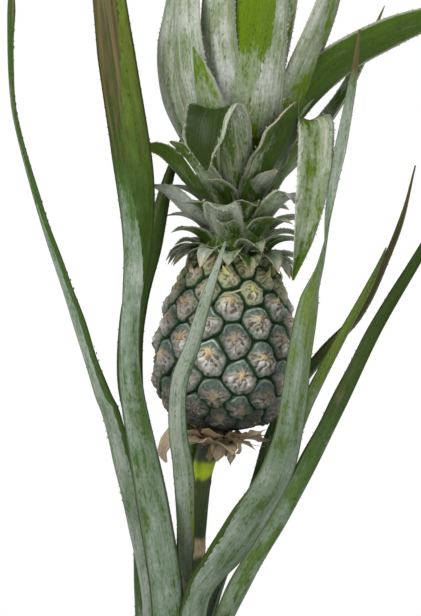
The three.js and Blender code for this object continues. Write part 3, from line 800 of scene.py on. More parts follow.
# ---- crown leaves, in the crown's leaning frame ----
crownShape = {
    "fold": [36, 18, 12, 12],
    "step": 4.0,
    "toothStep": 4.2,
    "toothLength": 1.7,
    "middle": 1.8,
    "ripple": 0.5,
    "dry": [0],
}
crownLeaves = {
    "crown_leaf_front": {
        "faces": -86,
        "bloom": [0, 0, 1, -0.5, 0, 0],
        "fresh": [0.9, 1, 0.8, 1, 1, 1],
        "parting": [1.2, 0.6, 0.1, 0.5, 0.6, 0.6],
        "other": {"bloom": [0, 0, 1, 0.9, 0.5, 0.4], "fresh": [0.8, 0.9, 0.8, 0.9, 1, 1]},
        "rows": [
            [3, -10, 40, 36], [-1, -30, 80, 56], [-3, -44, 120, 56],
            [-3, -54, 189, 44], [-4, -52, 250, 24], [-6, -46, 296, 2],
        ],
    },
    "crown_leaf_front_left": {
        "faces": -112,
        "bloom": [0.4, 0.6, 1.1, 1.1, 0.8],
        "fresh": [0.6, 0.7, 0.3, 0.1, 0.2],
        "parting": [1.6, 1.2, 0.7, 0.6, 0.6],
        "other": {"bloom": [0.6], "dark": [0.2]},
        "rows": [
            [-6, -10, 46, 28], [-19, -32, 90, 34], [-32, -46, 144, 34],
            [-38, -52, 190, 28], [-40, -48, 268, 2],
        ],
    },
    "crown_leaf_left_front": {
        "faces": -140,
        "bloom": [0.4, 0.8, 1.1, 1.1, 1],
        "fresh": [0.4, 0.4, 0.3, 0.2, 0.3],
        "parting": [1.6, 1.0, 0.55, 0.5, 0.5],
        "other": {"bloom": [1.2]},
        "rows": [
            [-13, -10, 38, 34], [-36, -30, 84, 38], [-54, -42, 128, 40],
            [-64, -46, 184, 33], [-68, -40, 246, 2],
        ],
    },
    "crown_leaf_left": {
        "faces": 188,
        "bloom": [0.5, 0.8, 1.1, 1.1, 1],
        "dark": [0.4, 0.2, 0, 0, 0],
        "rows": [
            [-14, 0, 34, 36, 0], [-46, -4, 72, 38, 6], [-69, -8, 112, 38, 18],
            [-76, -10, 160, 34, 26], [-75, -8, 228, 2, 26],
        ],
    },
    "crown_leaf_right_front": {
        "faces": -46,
        "bloom": [0.4, 0.7, 0.9, 1, 0.9],
        "fresh": [0.8, 0.9, 1, 1, 1],
        "parting": [-1.3, -0.7, -0.5, -0.4, -0.4],
        "other": {"bloom": [0.2, 0.3, 0.45, 0.5, 0.5]},
        "rows": [
            [11, -8, 50, 30], [24, -18, 96, 36], [38, -25, 150, 34],
            [50, -28, 199, 28], [62, -26, 262, 2],
        ],
    },
    "crown_leaf_right": {
        "faces": -8,
        "bloom": [0.4, 0.1, 0.05, 0.05, 0, 0],
        "dark": [0.5, 0.6, 0.5, 0.5, 0.4, 0.2],
        "fresh": [0.2, 0.1, 0.1, 0.15, 0.2, 0.3],
        "parting": [1.6, 1.2, 0.9, 0.8, 0.8, 0.8],
        "other": {"bloom": [0.7], "dark": [0]},
        "rows": [
            [12, 0, 44, 32, 0], [30, -4, 102, 38, -34], [56, -12, 149, 35, -50],
            [102, -28, 183, 29, -50], [146, -38, 203, 19, -40], [172, -42, 212, 2, -30],
        ],
    },
    "crown_leaf_folded": {
        "faces": -112,
        "fold": [36, 18, 12, 20],
        "bloom": [0.3, 0.5, 0.5, 0.05, 0, 0],
        "dark": [0.2, 0.3, 0.5, 1.1, 1.2, 1.2],
        "parting": [1.4, 1.0, 0.75, 0.7, 0.72, 0.75],
        "other": {"bloom": [0.5, 0.7, 0.9, 1.1, 1.1, 1.0], "dark": [0]},
        "ripple": 1.6,
        "rippleLength": 30.0,
        "rows": [
            [-5, -14, 22, 32], [-15, -34, 62, 44], [-25, -50, 99, 46],
            [-32, -60, 101, 44], [-34, -67, 78, 34], [-30, -68, 56, 3],
        ],
    },
    "crown_leaf_right_inner": {
        "faces": -50,
        "bloom": [0.2],
        "dry": [0.3, 0.6, 0.75, 0.8],
        "parting": [-1.2, -0.97, -0.93, -0.8],
        # Beyond the dry left margin the blade is dark: partly its dark green inner face, partly
        # painted shade on that face.
        "other": {
            "bloom": [0.4, 0.25, 0.05, 0],
            "dark": [0.2, 0.7, 0.9, 0.9],
            "dry": [0, 0, 0, 0.3],
        },
        "ripple": 1.5,
        "rippleLength": 22.0,
        "rows": [[8, -12, 24, 32], [18, -34, 62, 42], [27, -46, 94, 34], [33, -50, 118, 4]],
    },
    "crown_leaf_right_hanging": {
        "faces": -60,
        "fold": [30, 20, 12, 20, 24],
        "bloom": [0.4, 0.4, 0.5, 0.95, 0.8, 0.75, 0.8, 0.9],
        "fresh": [0.2, 0.2, 0.3, 0.4, 0.6, 0.6, 0.4, 0.2],
        "dry": [0, 0, 0.1, 0.2, 0, 0, 0.05, 0.2],
        "ripple": 1.4,
        "rippleLength": 40.0,
        "rows": [
            [13, -4, 30, 24, 0], [30, -20, 74, 30, 0], [41, -32, 102, 30, 0],
            [49, -40, 103, 30, 16], [52.5, -45, 70, 28, 30], [52, -45, 40, 24, 30],
            [50.5, -44, 12, 16, 30], [46.5, -40, -19, 2, 30],
        ],
    },
    "crown_leaf_left_low": {
        "faces": -134,
        "fold": [40, 40, 30],
        "bend": 1.1,
        "bloom": [0.5, 0.6, 0.5, 0.3],
        "dark": [0.4, 0.5, 0.5, 0.4],
        "rows": [[-9, -10, 20, 24], [-30, -31, 46, 30], [-48, -42, 66, 25], [-62, -46, 76, 4]],
    },
    "crown_leaf_left_arched": {
        "faces": 200,
        "fold": [30, 14, 10, 10],
        "bloom": [0.3, 0.1, 0.1, 0, 0],
        "fresh": [0.1, 0.2, 0.3, 0.3, 0.3],
        "dark": [0.3, 0.3, 0.2, 0.1, 0.1],
        "rows": [
            [-14, -5, 22, 14, 0], [-40, -20, 46, 16, 30], [-60, -28, 66, 15, 45],
            [-74, -31, 71, 11, 45], [-86, -32, 68, 2, 45],
        ],
    },
    "crown_leaf_left_short": {
        "faces": 200,
        "bloom": [1, 1.3, 1.3, 1],
        "dry": [0, 0, 0, 0.4],
        "rows": [
            [-18, -8, 12, 16, 0], [-38, -20, 24, 18, 30],
            [-56, -26, 38, 14, 40], [-74, -28, 42, 2, 40],
        ],
    },
    "crown_leaf_front_short": {
        "faces": -100,
        "bloom": [0.6, 1.0, 1.4, 1.5],
        "dark": [0.4, 0.1, 0, 0],
        "toothStep": 3.2,
        "rows": [[-4, -20, 0, 24], [-13, -38, 20, 32], [-15, -50, 31, 30], [-8, -61, 28, 4]],
    },
    "crown_leaf_right_short": {
        "faces": -50,
        "bloom": [0.5, 0.9, 1.3, 1.4],
        "dark": [0.4, 0.1, 0, 0],
        "toothStep": 3.2,
        "rows": [[16, -14, 14, 24], [27, -32, 38, 26], [36, -38, 47, 20], [46, -44, 36, 3]],
    },
}
risingTurns = [20, 54, 88, 122, 156, 70, 140]
# The short leaves and the skirt of small hooked ones, with what both have.
shortRing = {
    "count": 26, "turn": 12, "foot": -10, "rise": 1.85, "length": 36, "width": 24, "grow": 1,
}
skirtRing = {"count": 17, "turn": -96, "foot": -5, "length": 33, "width": 22, "lean": (64, 158)}
smallLeaf = {
    "base": 1, "widest": 0.3, "taper": 1.5, "count": 4,
    "step": 2.5, "toothStep": 2.9, "toothLength": 1.5,
}
crownCore = {"radius": 30, "top": 8, "foot": -11, "height": 108}
# Two more leaves of the crown: a young one in front and a pale one behind the right leaf.
looseCrownLeaves = {
    "young": {
        "faces": -120,
        "bloom": [0.4, 0.65, 0.65, 0.5],
        "fresh": [0.6, 0.9, 1, 1],
        "parting": [0.9, 0.8, 0.7, 0.7],
        "other": {"bloom": [0.8]},
        "rows": [[-18, -24, 50, 26], [-30, -46, 94, 30], [-41, -56, 124, 20], [-52, -60, 150, 2]],
    },
    "pale": {
        "faces": -8,
        "bloom": [0.6],
        "fresh": [0.2],
        "rows": [
            [34, 0, 104, 24, 0], [60, -4, 152, 28, -50],
            [82, -12, 176, 22, -50], [106, -22, 190, 3, -40],
        ],
    },
}


def risingLeaf(i):
    turn = risingTurns[i]
    return arched({
        "turn": turn,
        "foot": around(turn, 9 - 0.6 * i, 36 + 8 * i),
        "length": 205 + 10 * i,
        "width": 37 - i,
        "lean": (46 - 5 * i, 10 - i),
        "base": 0.85,
        "taper": 2,
        "twist": 10 * scatter(i, 11),
        "count": 5,
        "bloom": [0.6, 0.75, 0.7, 0.5, 0.3],
        "fresh": [0.5, 0.2, 0.2, 0.4, 0.5],
    })


def shortLeaf(i):
    rule = shortRing
    turn = rule["turn"] + i * goldenTurn
    height = rule["foot"] + i * rule["rise"]
    radius = mix(crownCore["radius"], crownCore["top"], height / crownCore["height"])
    return arched({
        **smallLeaf,
        "turn": turn,
        "foot": around(turn, radius - 5, height),
        "length": rule["length"] + rule["grow"] * i,
        "width": rule["width"],
        "lean": (22 + 0.4 * i, 140 - 2 * i + 12 * scatter(i, 12)),
        "sweep": 16 * scatter(i, 17),
        "fold": [34, 14],
        "bloom": np.array([0.1, 0.4, 0.8, 1.0]) * (1 + 0.6 * scatter(i, 16)),
        # Darker at the foot: partly the dark olive base, partly painted shade at the foot of the
        # crown.
        "dark": [0.9, 0.7, 0.3, 0.0],
        "dry": [0.1, 0, 0.1, 0.5],
        "across": 10,
        "middle": 1.5,
    })


# These hang over the fruit's top, evenly round the foot of the crown.
def skirtLeaf(i):
    rule = skirtRing
    turn = rule["turn"] + i * 360 / rule["count"] + 5 * scatter(i, 51)
    return arched({
        **smallLeaf,
        "turn": turn,
        "foot": around(turn, crownCore["radius"] - 3, rule["foot"] - 3 * (i % 2)),
        "length": rule["length"] + 5 * scatter(i, 52),
        "width": rule["width"] + 3 * scatter(i, 53),
        "lean": (rule["lean"][0], rule["lean"][1] + 14 * scatter(i, 54)),
        "sweep": 20 * scatter(i, 56),
        "fold": [30, 12],
        "bloom": np.array([0.1, 0.4, 0.8, 1.1]) * (1 + 0.6 * scatter(i, 55)),
        # Darker at the foot: partly the dark olive base, partly painted shade at the foot of the
        # crown.
        "dark": [0.9, 0.8, 0.4, 0.1],
        "dry": [0, 0, 0.15, 0.55],
        "across": 8,
        "toothLength": 1.4,
        "middle": 1.3,
    })


# The core is a turned body: its radius falls from the foot to the top, over 24 columns.
def coreBody():
    core = crownCore
    radius = [mix(core["radius"], core["top"], share) for share in (0, 0.2, 0.45, 1)] + [2]
    height = [core["height"] * share for share in (0.18, 0.4, 1)]
    height = [core["foot"], *height, core["height"] + 6]
    radius, height = np.array([radius, height])[..., None]
    turn = np.linspace(0, 360, 25)[None, :-1]
    rings = around(turn, radius, height)
    shape = rings.shape[:2]
    marks = {
        "bladePlace": stacked(shape, turn * 0.5, height, 0),
        "bladeLook": stacked(shape, 0.3, 0.1, 0.5),
        "bladeMore": stacked(shape, 0, 0.2, 5),
        "otherLook": stacked(shape, 0, 0, 0),
        "otherMore": stacked(shape, 0, 0, 0),
    }
    return closedTube(leaning(rings, crownPlace), marks)


def crownLeaf(leaf):
    return leaned({**crownShape, **leaf}, crownPlace)


named = {name: crownLeaf(leaf) for name, leaf in crownLeaves.items()}
rising = [crownLeaf(risingLeaf(i)) for i in range(len(risingTurns))]
makeLeaves(named, 71.3, 1.3, crownMaterial, "crown_leaf")
makeLeaves(numbered("crown_leaf_rising", rising), 91.7, 1.1, crownMaterial, "crown_leaf")
short = [crownLeaf(shortLeaf(i)) for i in range(shortRing["count"])]
skirt = [crownLeaf(skirtLeaf(i)) for i in range(skirtRing["count"])]
loose = [crownLeaf(leaf) for leaf in looseCrownLeaves.values()]
heart = [coreBody()]
for leaves, firstOwn, ownStep in ((short, 111.3, 0.7), (skirt, 131.1, 0.9), (loose, 141.3, 1.7)):
    heart += bladeParts(leaves, firstOwn, ownStep)
makePiece("crown_heart", joinParts(heart), crownMaterial, "crown_leaf", "crown_core")
print("crown made")

# ---- the fruit ----
fruitShape = {
    "radius": 57.0,
    "topShare": 0.52,  # how much narrower the top is
    "widest": 0.4,
    "columns": 352,
    "rows": 262,
    "footRows": 33,  # of the rows, those on the lowest part
    "lidRows": 12,
    "footShare": 0.09,
    "turn": 47.6,  # from one eye to the next on the spiral
    "rise": 2.05,
    "start": 30.0,
    "first": 0.05,
    "last": 0.955,
    "stray": 1.3,  # how far an eye sits off the spiral
    "warp": 0.9,  # how far the grooves wander, and over what length
    "warpLength": 17.0,
    "corner": 0.8,  # lower rounds the cells' corners more
    "groove": 3.4,
    "grooveWidth": 1.5,
    "puff": 2.9,
    "puffWidth": 8.5,
    "wrinkle": 0.8,
    "rays": (9, 17),  # wrinkles round the eye's middle, large and small
    "raysTwist": 9.0,
    "crumple": 0.85,
    "ridges": [(0.7, 6.0), (0.45, 3.6)],  # size and length
    "middle": 2.2,  # the eye's middle lies this far above its centre, and strays
    "middleStray": (1.4, 1.2),
    "lowerShare": 0.62,  # how much of the eye's centre belongs to its rough lower part
    "lowerSpan": 9.0,
    "lowerRise": 0.8,
    "upperSink": 0.5,
    "footFade": 9.0,
    "topFade": 4.0,
    "lidRise": 1.5,
    "knob": 1.3,  # the rise in the eye's middle
    "knobWidth": 2.6,
    "eyeReach": 12.0,  # the length that the marks count as 1
}


def fruitRadius(share):
    rule = fruitShape
    widest, radius = rule["widest"], rule["radius"]
    below = np.clip((widest - share) / widest, 0, 1)
    above = np.clip((share - widest) / (1 - widest), 0, 1)
    foot, top = np.sqrt(1 - below**3), 1 - rule["topShare"] * above**2
    return radius * np.where(share < widest, foot, top)


def fruitSlope(share):
    step = 0.005
    return (fruitRadius(share + step) - fruitRadius(share - step)) / (2 * step * fruitHeight)


# Eyes lie on one spiral, and each step up the skin is scaled by the girth.
def eyePlaces():
    rule = fruitShape
    share, shares = rule["first"], []
    while share < rule["last"]:
        shares.append(share)
        girth = fruitRadius(share) / rule["radius"]
        share += rule["rise"] * girth / (fruitHeight * math.hypot(1, fruitSlope(share)))
    shares = np.array(shares, float)
    number = np.arange(len(shares))
    turn = rule["start"] + number * rule["turn"]
    slope = fruitSlope(shares)
    outward = unit(around(turn, 1.0, -slope))
    upward = unit(around(turn, slope, 1.0))
    stray = np.cross(upward, outward) * scatter(number, 41)[:, None]
    stray += upward * scatter(number, 42)[:, None]
    centre = around(turn, fruitRadius(shares), shares * fruitHeight) + rule["stray"] * stray
    return centre, outward, upward, shares


# The skin is a surface of revolution. Each point belongs to the nearest eye. Its height is a dome
# inside the eye less a groove along the border with the next eyes, with wrinkles that run out from
# the eye's middle. The border is a soft minimum of the distances to the bisecting planes:
# -log(sum(exp(-corner * distance))) / corner.
def fruitSkin():
    rule = fruitShape
    centre, outward, upward = eyePlaces()[:3]
    footRows, lidRows, footShare = rule["footRows"], rule["lidRows"], rule["footShare"]
    low = np.linspace(0.0015, footShare, footRows + 1)[:-1]
    share = np.r_[low, np.linspace(footShare, 1, rule["rows"] - footRows - lidRows)]
    radius, z = fruitRadius(share), share * fruitHeight
    inwards = np.linspace(1, 0.04, lidRows + 1)[1:]
    radius = np.r_[radius, fruitRadius(1.0) * inwards]
    z = np.r_[z, fruitHeight + rule["lidRise"] * (1 - inwards)]
    run = np.cumsum(np.hypot(np.gradient(radius), np.gradient(z)))
    slope = np.gradient(radius, np.maximum(run, 1e-6))
    rise = np.sqrt(np.clip(1 - slope**2, 0, 1))
    turn = np.linspace(0, 360, rule["columns"] + 1)[:-1]
    skin = around(turn[None], radius[:, None], z[:, None])
    normal = unit(around(turn[None], rise[:, None], -slope[:, None]))
    flat = skin.reshape(-1, 3)

    warp = np.stack([ripples(flat, rule["warpLength"], seed) for seed in (1, 2, 3)], -1)
    bent = flat + rule["warp"] * warp
    apart = (bent**2).sum(1)[:, None] + (centre**2).sum(1) - 2 * bent @ centre.T
    nearest = apart.argmin(1)
    between = np.linalg.norm(centre[:, None] - centre[None], axis=-1)
    own = apart[np.arange(len(flat)), nearest]
    distance = (apart - own[:, None]) / (2 * np.maximum(between[nearest], 1e-6))
    distance[np.arange(len(flat)), nearest] = 99.0  # the own eye doesn't count
    border = -np.log(np.exp(-rule["corner"] * distance).sum(1)) / rule["corner"]

    away = bent - centre[nearest]
    sideways = np.cross(upward, outward)[nearest]
    a, b = (away * sideways).sum(1), (away * upward[nearest]).sum(1)
    phase = scatter(nearest, 21)
    sideStray, upStray = rule["middleStray"]
    middle = rule["middle"] + upStray * scatter(nearest, 22)
    far = np.hypot(a - sideStray * scatter(nearest, 23), b - middle)
    angle = np.arctan2(b - middle, a)
    twist = ripples(flat, rule["raysTwist"], 5)
    large, small = rule["rays"]
    rays = np.sin(large * angle + 5 * phase + 1.5 * twist)
    rays += 0.6 * np.sin(small * angle - 4 * phase + 2 * twist)
    rays *= smooth((far - 1.0) / 2.5) * (1 - smooth((far - 9.5) / 3.5))
    ridge = 0
    for k, (size, length) in enumerate(rule["ridges"]):
        ridge = ridge + size * (1 - 1.5 * np.abs(ripples(flat, length, 7 + k)))
    lower = smooth(rule["lowerShare"] - b / rule["lowerSpan"])
    inside = smooth((border + 0.4) / rule["grooveWidth"])
    height = -rule["groove"] * (1 - inside)
    height -= rule["puff"] * (1 - smooth(border / rule["puffWidth"]))
    height += inside * (rule["lowerRise"] * lower - rule["upperSink"] * (1 - lower))
    rough = rule["wrinkle"] * rays + rule["crumple"] * ridge
    height += inside * rough * (0.3 + 0.7 * lower)
    height += rule["knob"] * np.exp(-((far / rule["knobWidth"]) ** 2))
    topFade = rule["topFade"]
    ends = smooth(z / rule["footFade"]) * (1 - smooth((z - fruitHeight + topFade) / topFade))
    height = height * np.repeat(ends, rule["columns"])
    points = flat + normal.reshape(-1, 3) * height[:, None]

    up = np.repeat(z / fruitHeight, rule["columns"])
    reach = rule["eyeReach"]
    marks = {
        "eyePlace": [a / reach, b / reach, border / reach],
        "eyeLook": [up, 0.5 + 0.5 * scatter(nearest, 24), 0.5 + 0.3 * rays],
        "eyeShape": [far / reach, 0.5 + 0.45 * ridge, lower],
    }
    marks = {name: np.stack(values, -1).reshape(skin.shape) for name, values in marks.items()}
    return closedTube(leaning(points.reshape(skin.shape), fruitPlace), marks)


fruitTones = {
    # The groove tones are partly the skin's dark green and partly painted shade in the grooves.
    "groove": rgb(0.012, 0.030, 0.010),
    "grooveSide": rgb(0.022, 0.066, 0.018),
    "shield": rgb(0.140, 0.180, 0.150),
    "shieldDark": rgb(0.040, 0.072, 0.050),
    # The rim tone is a painted highlight on the top edge of each eye.
    "rim": rgb(0.400, 0.450, 0.390),
    "skin": rgb(0.280, 0.255, 0.205),
    "silver": rgb(0.500, 0.510, 0.485),
    # The crease tone is partly the dry brown of the creases and partly painted shade in them.
    "crease": rgb(0.105, 0.082, 0.060),
    "star": rgb(0.470, 0.340, 0.180),
    "young": rgb(0.340, 0.360, 0.150),
    "old": rgb(0.036, 0.042, 0.032),
}


def fruitMaterial():
    material, tree, surface = newMaterial("fruitSkin")
    tone = fruitTones
    up, border = split(tree, mark(tree, "eyePlace"))[1:]
    height, own, ray = split(tree, mark(tree, "eyeLook"))
    far, ridge, lower = split(tree, mark(tree, "eyeShape"))
    place = put(tree, "TexCoord").outputs["Object"]
    cloud = clouds(tree, place, 110.0, 4.0, 0.6)
    fine = clouds(tree, place, 450.0, 4.0, 0.65)
    coarse = clouds(tree, place, 42.0, 3.0)

    def product(first, *rest):
        for value in rest:
            first = calc(tree, "MULTIPLY", first, value)
        return first

    crisp = calc(tree, "MULTIPLY_ADD", ray, 0.5, product(ridge, 0.35))
    for mottling, weight in ((fine, 0.28), (cloud, 0.22)):
        crisp = calc(tree, "MULTIPLY_ADD", mottling, weight, crisp)
    # The crease tone darkens the skin where the wrinkles sink: partly the dry brown of the creases,
    # partly painted shade in them.
    wrinkled = colourMix(tree, spread(tree, crisp, 0.74, 0.5), tone["skin"], tone["crease"])
    silverPlace = product(spread(tree, lower, 0.5, 1.0, 0.2, 1.0), spread(tree, cloud, 0.25, 0.75))
    silverShare = calc(tree, "MULTIPLY", silverPlace, spread(tree, crisp, 0.55, 0.85), clamp=True)
    wrinkled = colourMix(tree, silverShare, wrinkled, tone["silver"])

    shade = colourMix(tree, spread(tree, fine, 0.2, 0.9), tone["shield"], tone["shieldDark"])
    shieldPlace = calc(tree, "MULTIPLY_ADD", cloud, 0.55, up)
    shieldPlace = calc(tree, "MULTIPLY_ADD", far, 0.4, shieldPlace)
    shieldShare = spread(tree, shieldPlace, 0.8, 1.05)
    colour = colourMix(tree, shieldShare, wrinkled, shade)
    # Darker near each eye's border: partly the eye's dark teal edge, partly painted shade where the
    # eye slopes into the groove.
    outerShare = product(spread(tree, border, 0.52, 0.18), spread(tree, cloud, 0.2, 0.8, 0.3, 0.85))
    colour = colourMix(tree, outerShare, colour, tone["shieldDark"])
    # Painted highlight: a pale line along the top edge of each eye, where its upper lip faces the
    # light.
    rimHighlightShare = product(
        spread(tree, border, 0.12, 0.17), spread(tree, border, 0.28, 0.20),
        spread(tree, up, 0.35, 0.6, 0.0, 0.8), spread(tree, cloud, 0.25, 0.7, 0.15, 1.0),
    )
    colour = colourMix(tree, rimHighlightShare, colour, tone["rim"])

    rayed = spread(tree, crisp, 0.4, 0.9, -0.35, 0.25)
    nearMiddle = calc(tree, "ADD", spread(tree, far, 0.62, 0.1), rayed)
    starShare = product(spread(tree, nearMiddle, 0.4, 0.95), spread(tree, own, 0, 1, 0.25, 0.8))
    colour = colourMix(tree, starShare, colour, tone["star"])
    youngPlace = calc(tree, "MULTIPLY_ADD", coarse, 0.25, height)
    youngWear = spread(tree, crisp, 0.4, 0.8, 0.25, 0.9)
    youngShare = product(spread(tree, youngPlace, 0.82, 1.12), youngWear)
    colour = colourMix(tree, youngShare, colour, tone["young"])
    # Darker towards the fruit's foot.
    bottomDarkPlace = calc(tree, "MULTIPLY_ADD", cloud, 0.16, height)
    bottomDarkShare = spread(tree, bottomDarkPlace, 0.42, 0.12, 0.0, 0.85)
    colour = colourMix(tree, bottomDarkShare, colour, tone["old"])
    colour = shaded(tree, colour, own, 0.78, 1.1)
    # Darker in the grooves between the eyes: partly the skin's own dark green, partly painted shade
    # in the grooves.
    grooveEdge = calc(tree, "MULTIPLY_ADD", fine, 0.05, border)
    colour = colourMix(tree, spread(tree, grooveEdge, 0.15, 0.10), colour, tone["grooveSide"])
    colour = colourMix(tree, spread(tree, grooveEdge, 0.10, 0.05), colour, tone["groove"])

    rough = calc(tree, "MULTIPLY_ADD", fine, 0.6, cloud)
    roughness = spread(tree, shieldShare, 0, 1, 0.68, 0.45)
    finishSurface(tree, surface, colour, roughness, bump(tree, rough, 0.7, 0.0013))
    surface.inputs["Specular IOR Level"].default_value = 0.3
    return material


# Each eye's bract ends in a pointed scale that stands up from the eye's middle.
tipShape = {
    "length": [2.5, 3, 3.5, 5, 8],
    "width": [4, 5, 8],
    "tilt": [16, 18, 22],
    "thick": 0.45,
    "sides": [1.0, 0.45, 0.0, -0.45, -1.0, -0.45, 0.0, 0.45],
    "faces": [0.0, 1.0, 1.2, 1.0, 0.0, -1.0, -1.0, -1.0],  # outwards or inwards, for each side
    "rings": 6,
}


def eyeTips():
    rule = tipShape
    centre, outward, upward, shares = eyePlaces()
    number = np.arange(len(centre))
    along = np.linspace(0, 1, rule["rings"])
    sides, face = np.array(rule["sides"]), np.array(rule["faces"])
    sideways = np.cross(upward, outward)
    tilt = np.radians(readList(rule["tilt"], shares) + 14 * scatter(number, 31))[:, None]
    lean = 0.7 * scatter(number, 32)[:, None]
    length = readList(rule["length"], shares) * (1 + 0.5 * scatter(number, 33))
    width = readList(rule["width"], shares) * (1 + 0.15 * scatter(number, 34))
    rise = unit(upward * np.cos(tilt) + outward * np.sin(tilt) + sideways * lean)
    out = unit(np.cross(sideways, rise))
    out = out * np.sign((out * outward).sum(1))[:, None]
    root = centre + outward * 0.6 + upward * (-1.5 + 1.5 * scatter(number, 35))[:, None]
    half = np.maximum(width[:, None] / 2 * (1 - along**1.6), 0.12)[..., None]
    run = (along * length[:, None])[..., None]
    lift = (length[:, None] * 0.16 * along**2)[..., None]
    middle = root[:, None] + rise[:, None] * run - out[:, None] * lift
    bulge = (rule["thick"] * face + 0.9 * (0.7 - np.abs(sides))) * np.minimum(half / 3, 1)
    rings = middle[:, :, None] + sideways[:, None, None] * (half * sides)[..., None]
    rings = leaning(rings + out[:, None, None] * bulge[..., None], fruitPlace)
    shape = (len(along), len(sides))
    parts = []
    for i in number:
        fresh = smooth((shares[i] - 0.55) / 0.3)
        marks = {
            "bladePlace": stacked(shape, half[i] * sides, run[i], 0)[:, ::-1],
            "bladeLook": stacked(shape, 0.35, 0.75 - 0.65 * fresh, 0.5 * (shares[i] < 0.2)),
            "bladeMore": stacked(shape, 0.97 * np.abs(sides), fresh, 0.37 * i)[:, ::-1],
            "otherLook": stacked(shape, 0, 0, 0),
            "otherMore": stacked(shape, 0, 0, 0),
        }
        parts.append(closedTube(rings[i][:, ::-1], marks))
    return parts


makePiece("fruit_skin", fruitSkin(), fruitMaterial(), "fruit", "fruit")
tipTones = {
    **bractTones,
    "Fresh Tone": rgb(0.360, 0.390, 0.120),
    "Dry Tone": rgb(0.330, 0.220, 0.110),
    "Under": rgb(0.280, 0.230, 0.130),
}
# A pale dry needle lies across one eye.
needle = {
    "faces": -80,
    "fold": [10],
    "bloom": [0.2],
    "fresh": [1],
    "dry": [0],
    "toothLength": 0,
    "step": 1.5,
    "rows": [
        [33, -46.5, 488, 2.6], [38, -50, 489.5, 2.4],
        [44, -51, 491.5, 1.8], [50, -50.5, 493.5, 0.6],
    ],
}
tips = joinParts(eyeTips() + bladeParts([needle], 3.3, 0))
makePiece("fruit_tips", tips, bladeMaterial("eyeTip", tipTones, 0.6), "fruit")
print("fruit made")

# ---- stalk and its dry bracts ----
stalkShape = {
    "points": [[0, 0, 172.3], [7, 0, 235], [11.5, 0, 285], [15.5, 0, 325], [20, 0, 357]],
    "radii": [11, 9, 8, 7.6, 7.6, 10],
    "columns": 40,
    "rows": 150,
    "rings": [(287, 1.1, 5.0), (340, 0.5, 2.5), (222, 0.9, 4.0)],  # height, swelling, reach
    "ridge": 0.25,
}
# Height in metres and colour, from the stem up. The bright yellow-green band from 0.345 to 0.355 is
# a painted patch of light, and the dark band above it, under the bracts, is painted shade.
stalkBands = [
    (0.170, rgb(0.150, 0.110, 0.060)),
    (0.262, rgb(0.125, 0.090, 0.045)),
    (0.268, rgb(0.040, 0.060, 0.014)),
    (0.279, rgb(0.045, 0.065, 0.016)),
    (0.283, rgb(0.520, 0.440, 0.270)),
    (0.293, rgb(0.460, 0.350, 0.200)),
    (0.298, rgb(0.030, 0.054, 0.008)),
    (0.341, rgb(0.036, 0.068, 0.006)),
    # A painted patch of light on the stalk.
    (0.345, rgb(0.430, 0.560, 0.004)),
    (0.355, rgb(0.330, 0.440, 0.004)),
    # Painted shade below the bracts.
    (0.359, rgb(0.040, 0.060, 0.018)),
    (0.380, rgb(0.045, 0.038, 0.024)),
]
stalkMarkTone = rgb(0.300, 0.260, 0.170)


# A tube along the stalk's line; rings swell it, and ridges run along it.
def stalkBody():
    rule = stalkShape
    points = np.vstack([rule["points"], leaning([0, 0, 3.0], fruitPlace)])
    even = np.linspace(0, 1, rule["rows"])
    at, along = lineAt(points, evenShares(points, even)[0])
    along = unit(along)
    across = unit(np.cross([0, 1.0, 0], along))
    radius = readList(rule["radii"], even)
    for height, swell, reach in rule["rings"]:
        radius = radius + swell * np.exp(-(((at[:, 2] - height) / reach) ** 2))
    angle = np.linspace(0, 2 * np.pi, rule["columns"] + 1)[:-1]
    z = at[:, 2:]
    girth = radius[:, None] + rule["ridge"] * np.sin(9 * angle + 0.01 * z)
    girth += 0.2 * np.sin(4 * angle + z / 9)
    rings = at[:, None] + across[:, None] * (girth * np.cos(angle))[..., None]
    rings += np.cross(along, across)[:, None] * (girth * np.sin(angle))[..., None]
    return closedTube(rings, {})


def stalkMaterial():
    material, tree, surface = newMaterial("stalkSkin")
    place = put(tree, "TexCoord").outputs["Object"]
    x, y, z = split(tree, place)
    wobble = grains(tree, place, 60.0, 3.0)
    height = calc(tree, "ADD", z, spread(tree, wobble, 0.3, 0.7, -0.003, 0.003))
    low, high = stalkBands[0][0], stalkBands[-1][0]
    ramp = put(tree, "ValToRGB", [spread(tree, height, low, high)])
    stops = ramp.color_ramp.elements
    while len(stops) < len(stalkBands):
        stops.new(0.5)
    for stop, (level, colour) in zip(stops, stalkBands):
        stop.position = (level - low) / (high - low)
        stop.color = colour
    perMetre = ((x, 900.0), (y, 900.0), (z, 40.0))
    long = stretched(tree, *(calc(tree, "MULTIPLY", value, times) for value, times in perMetre))
    fibre = clouds(tree, long, 1.0, 3.0)
    colour = shaded(tree, ramp.outputs[0], fibre, 0.7, 1.25)
    colour = colourMix(tree, spread(tree, wobble, 0.62, 0.72, 0.0, 0.5), colour, stalkMarkTone)
    roughness = spread(tree, fibre, 0, 1, 0.4, 0.6)
    finishSurface(tree, surface, colour, roughness, bump(tree, fibre, 0.5, 0.0006))
    return material


bractShape = {"count": 24, "turn": -40, "length": 34, "width": 20}
# The kinds of bract, from the last to the first: where their feet are, how large they are, and how
# they lean at the foot and at the tip, each with its scatter.
bractKinds = [
    {
        "first": 17, "out": 9, "height": -3, "step": -1.5, "steps": 3, "size": 0.7,
        "lean": ((164, 0), (174, 6)),
    },
    {
        "first": 7, "out": 8, "height": -4, "step": -1.2, "steps": 4, "size": 1.05,
        "lean": ((88, 10), (78, 26)),
    },
    {
        "first": 0, "out": 4, "height": -10, "step": -1.5, "steps": 3, "size": 1.0,
        "lean": ((66, 0), (116, 20)),
    },
]


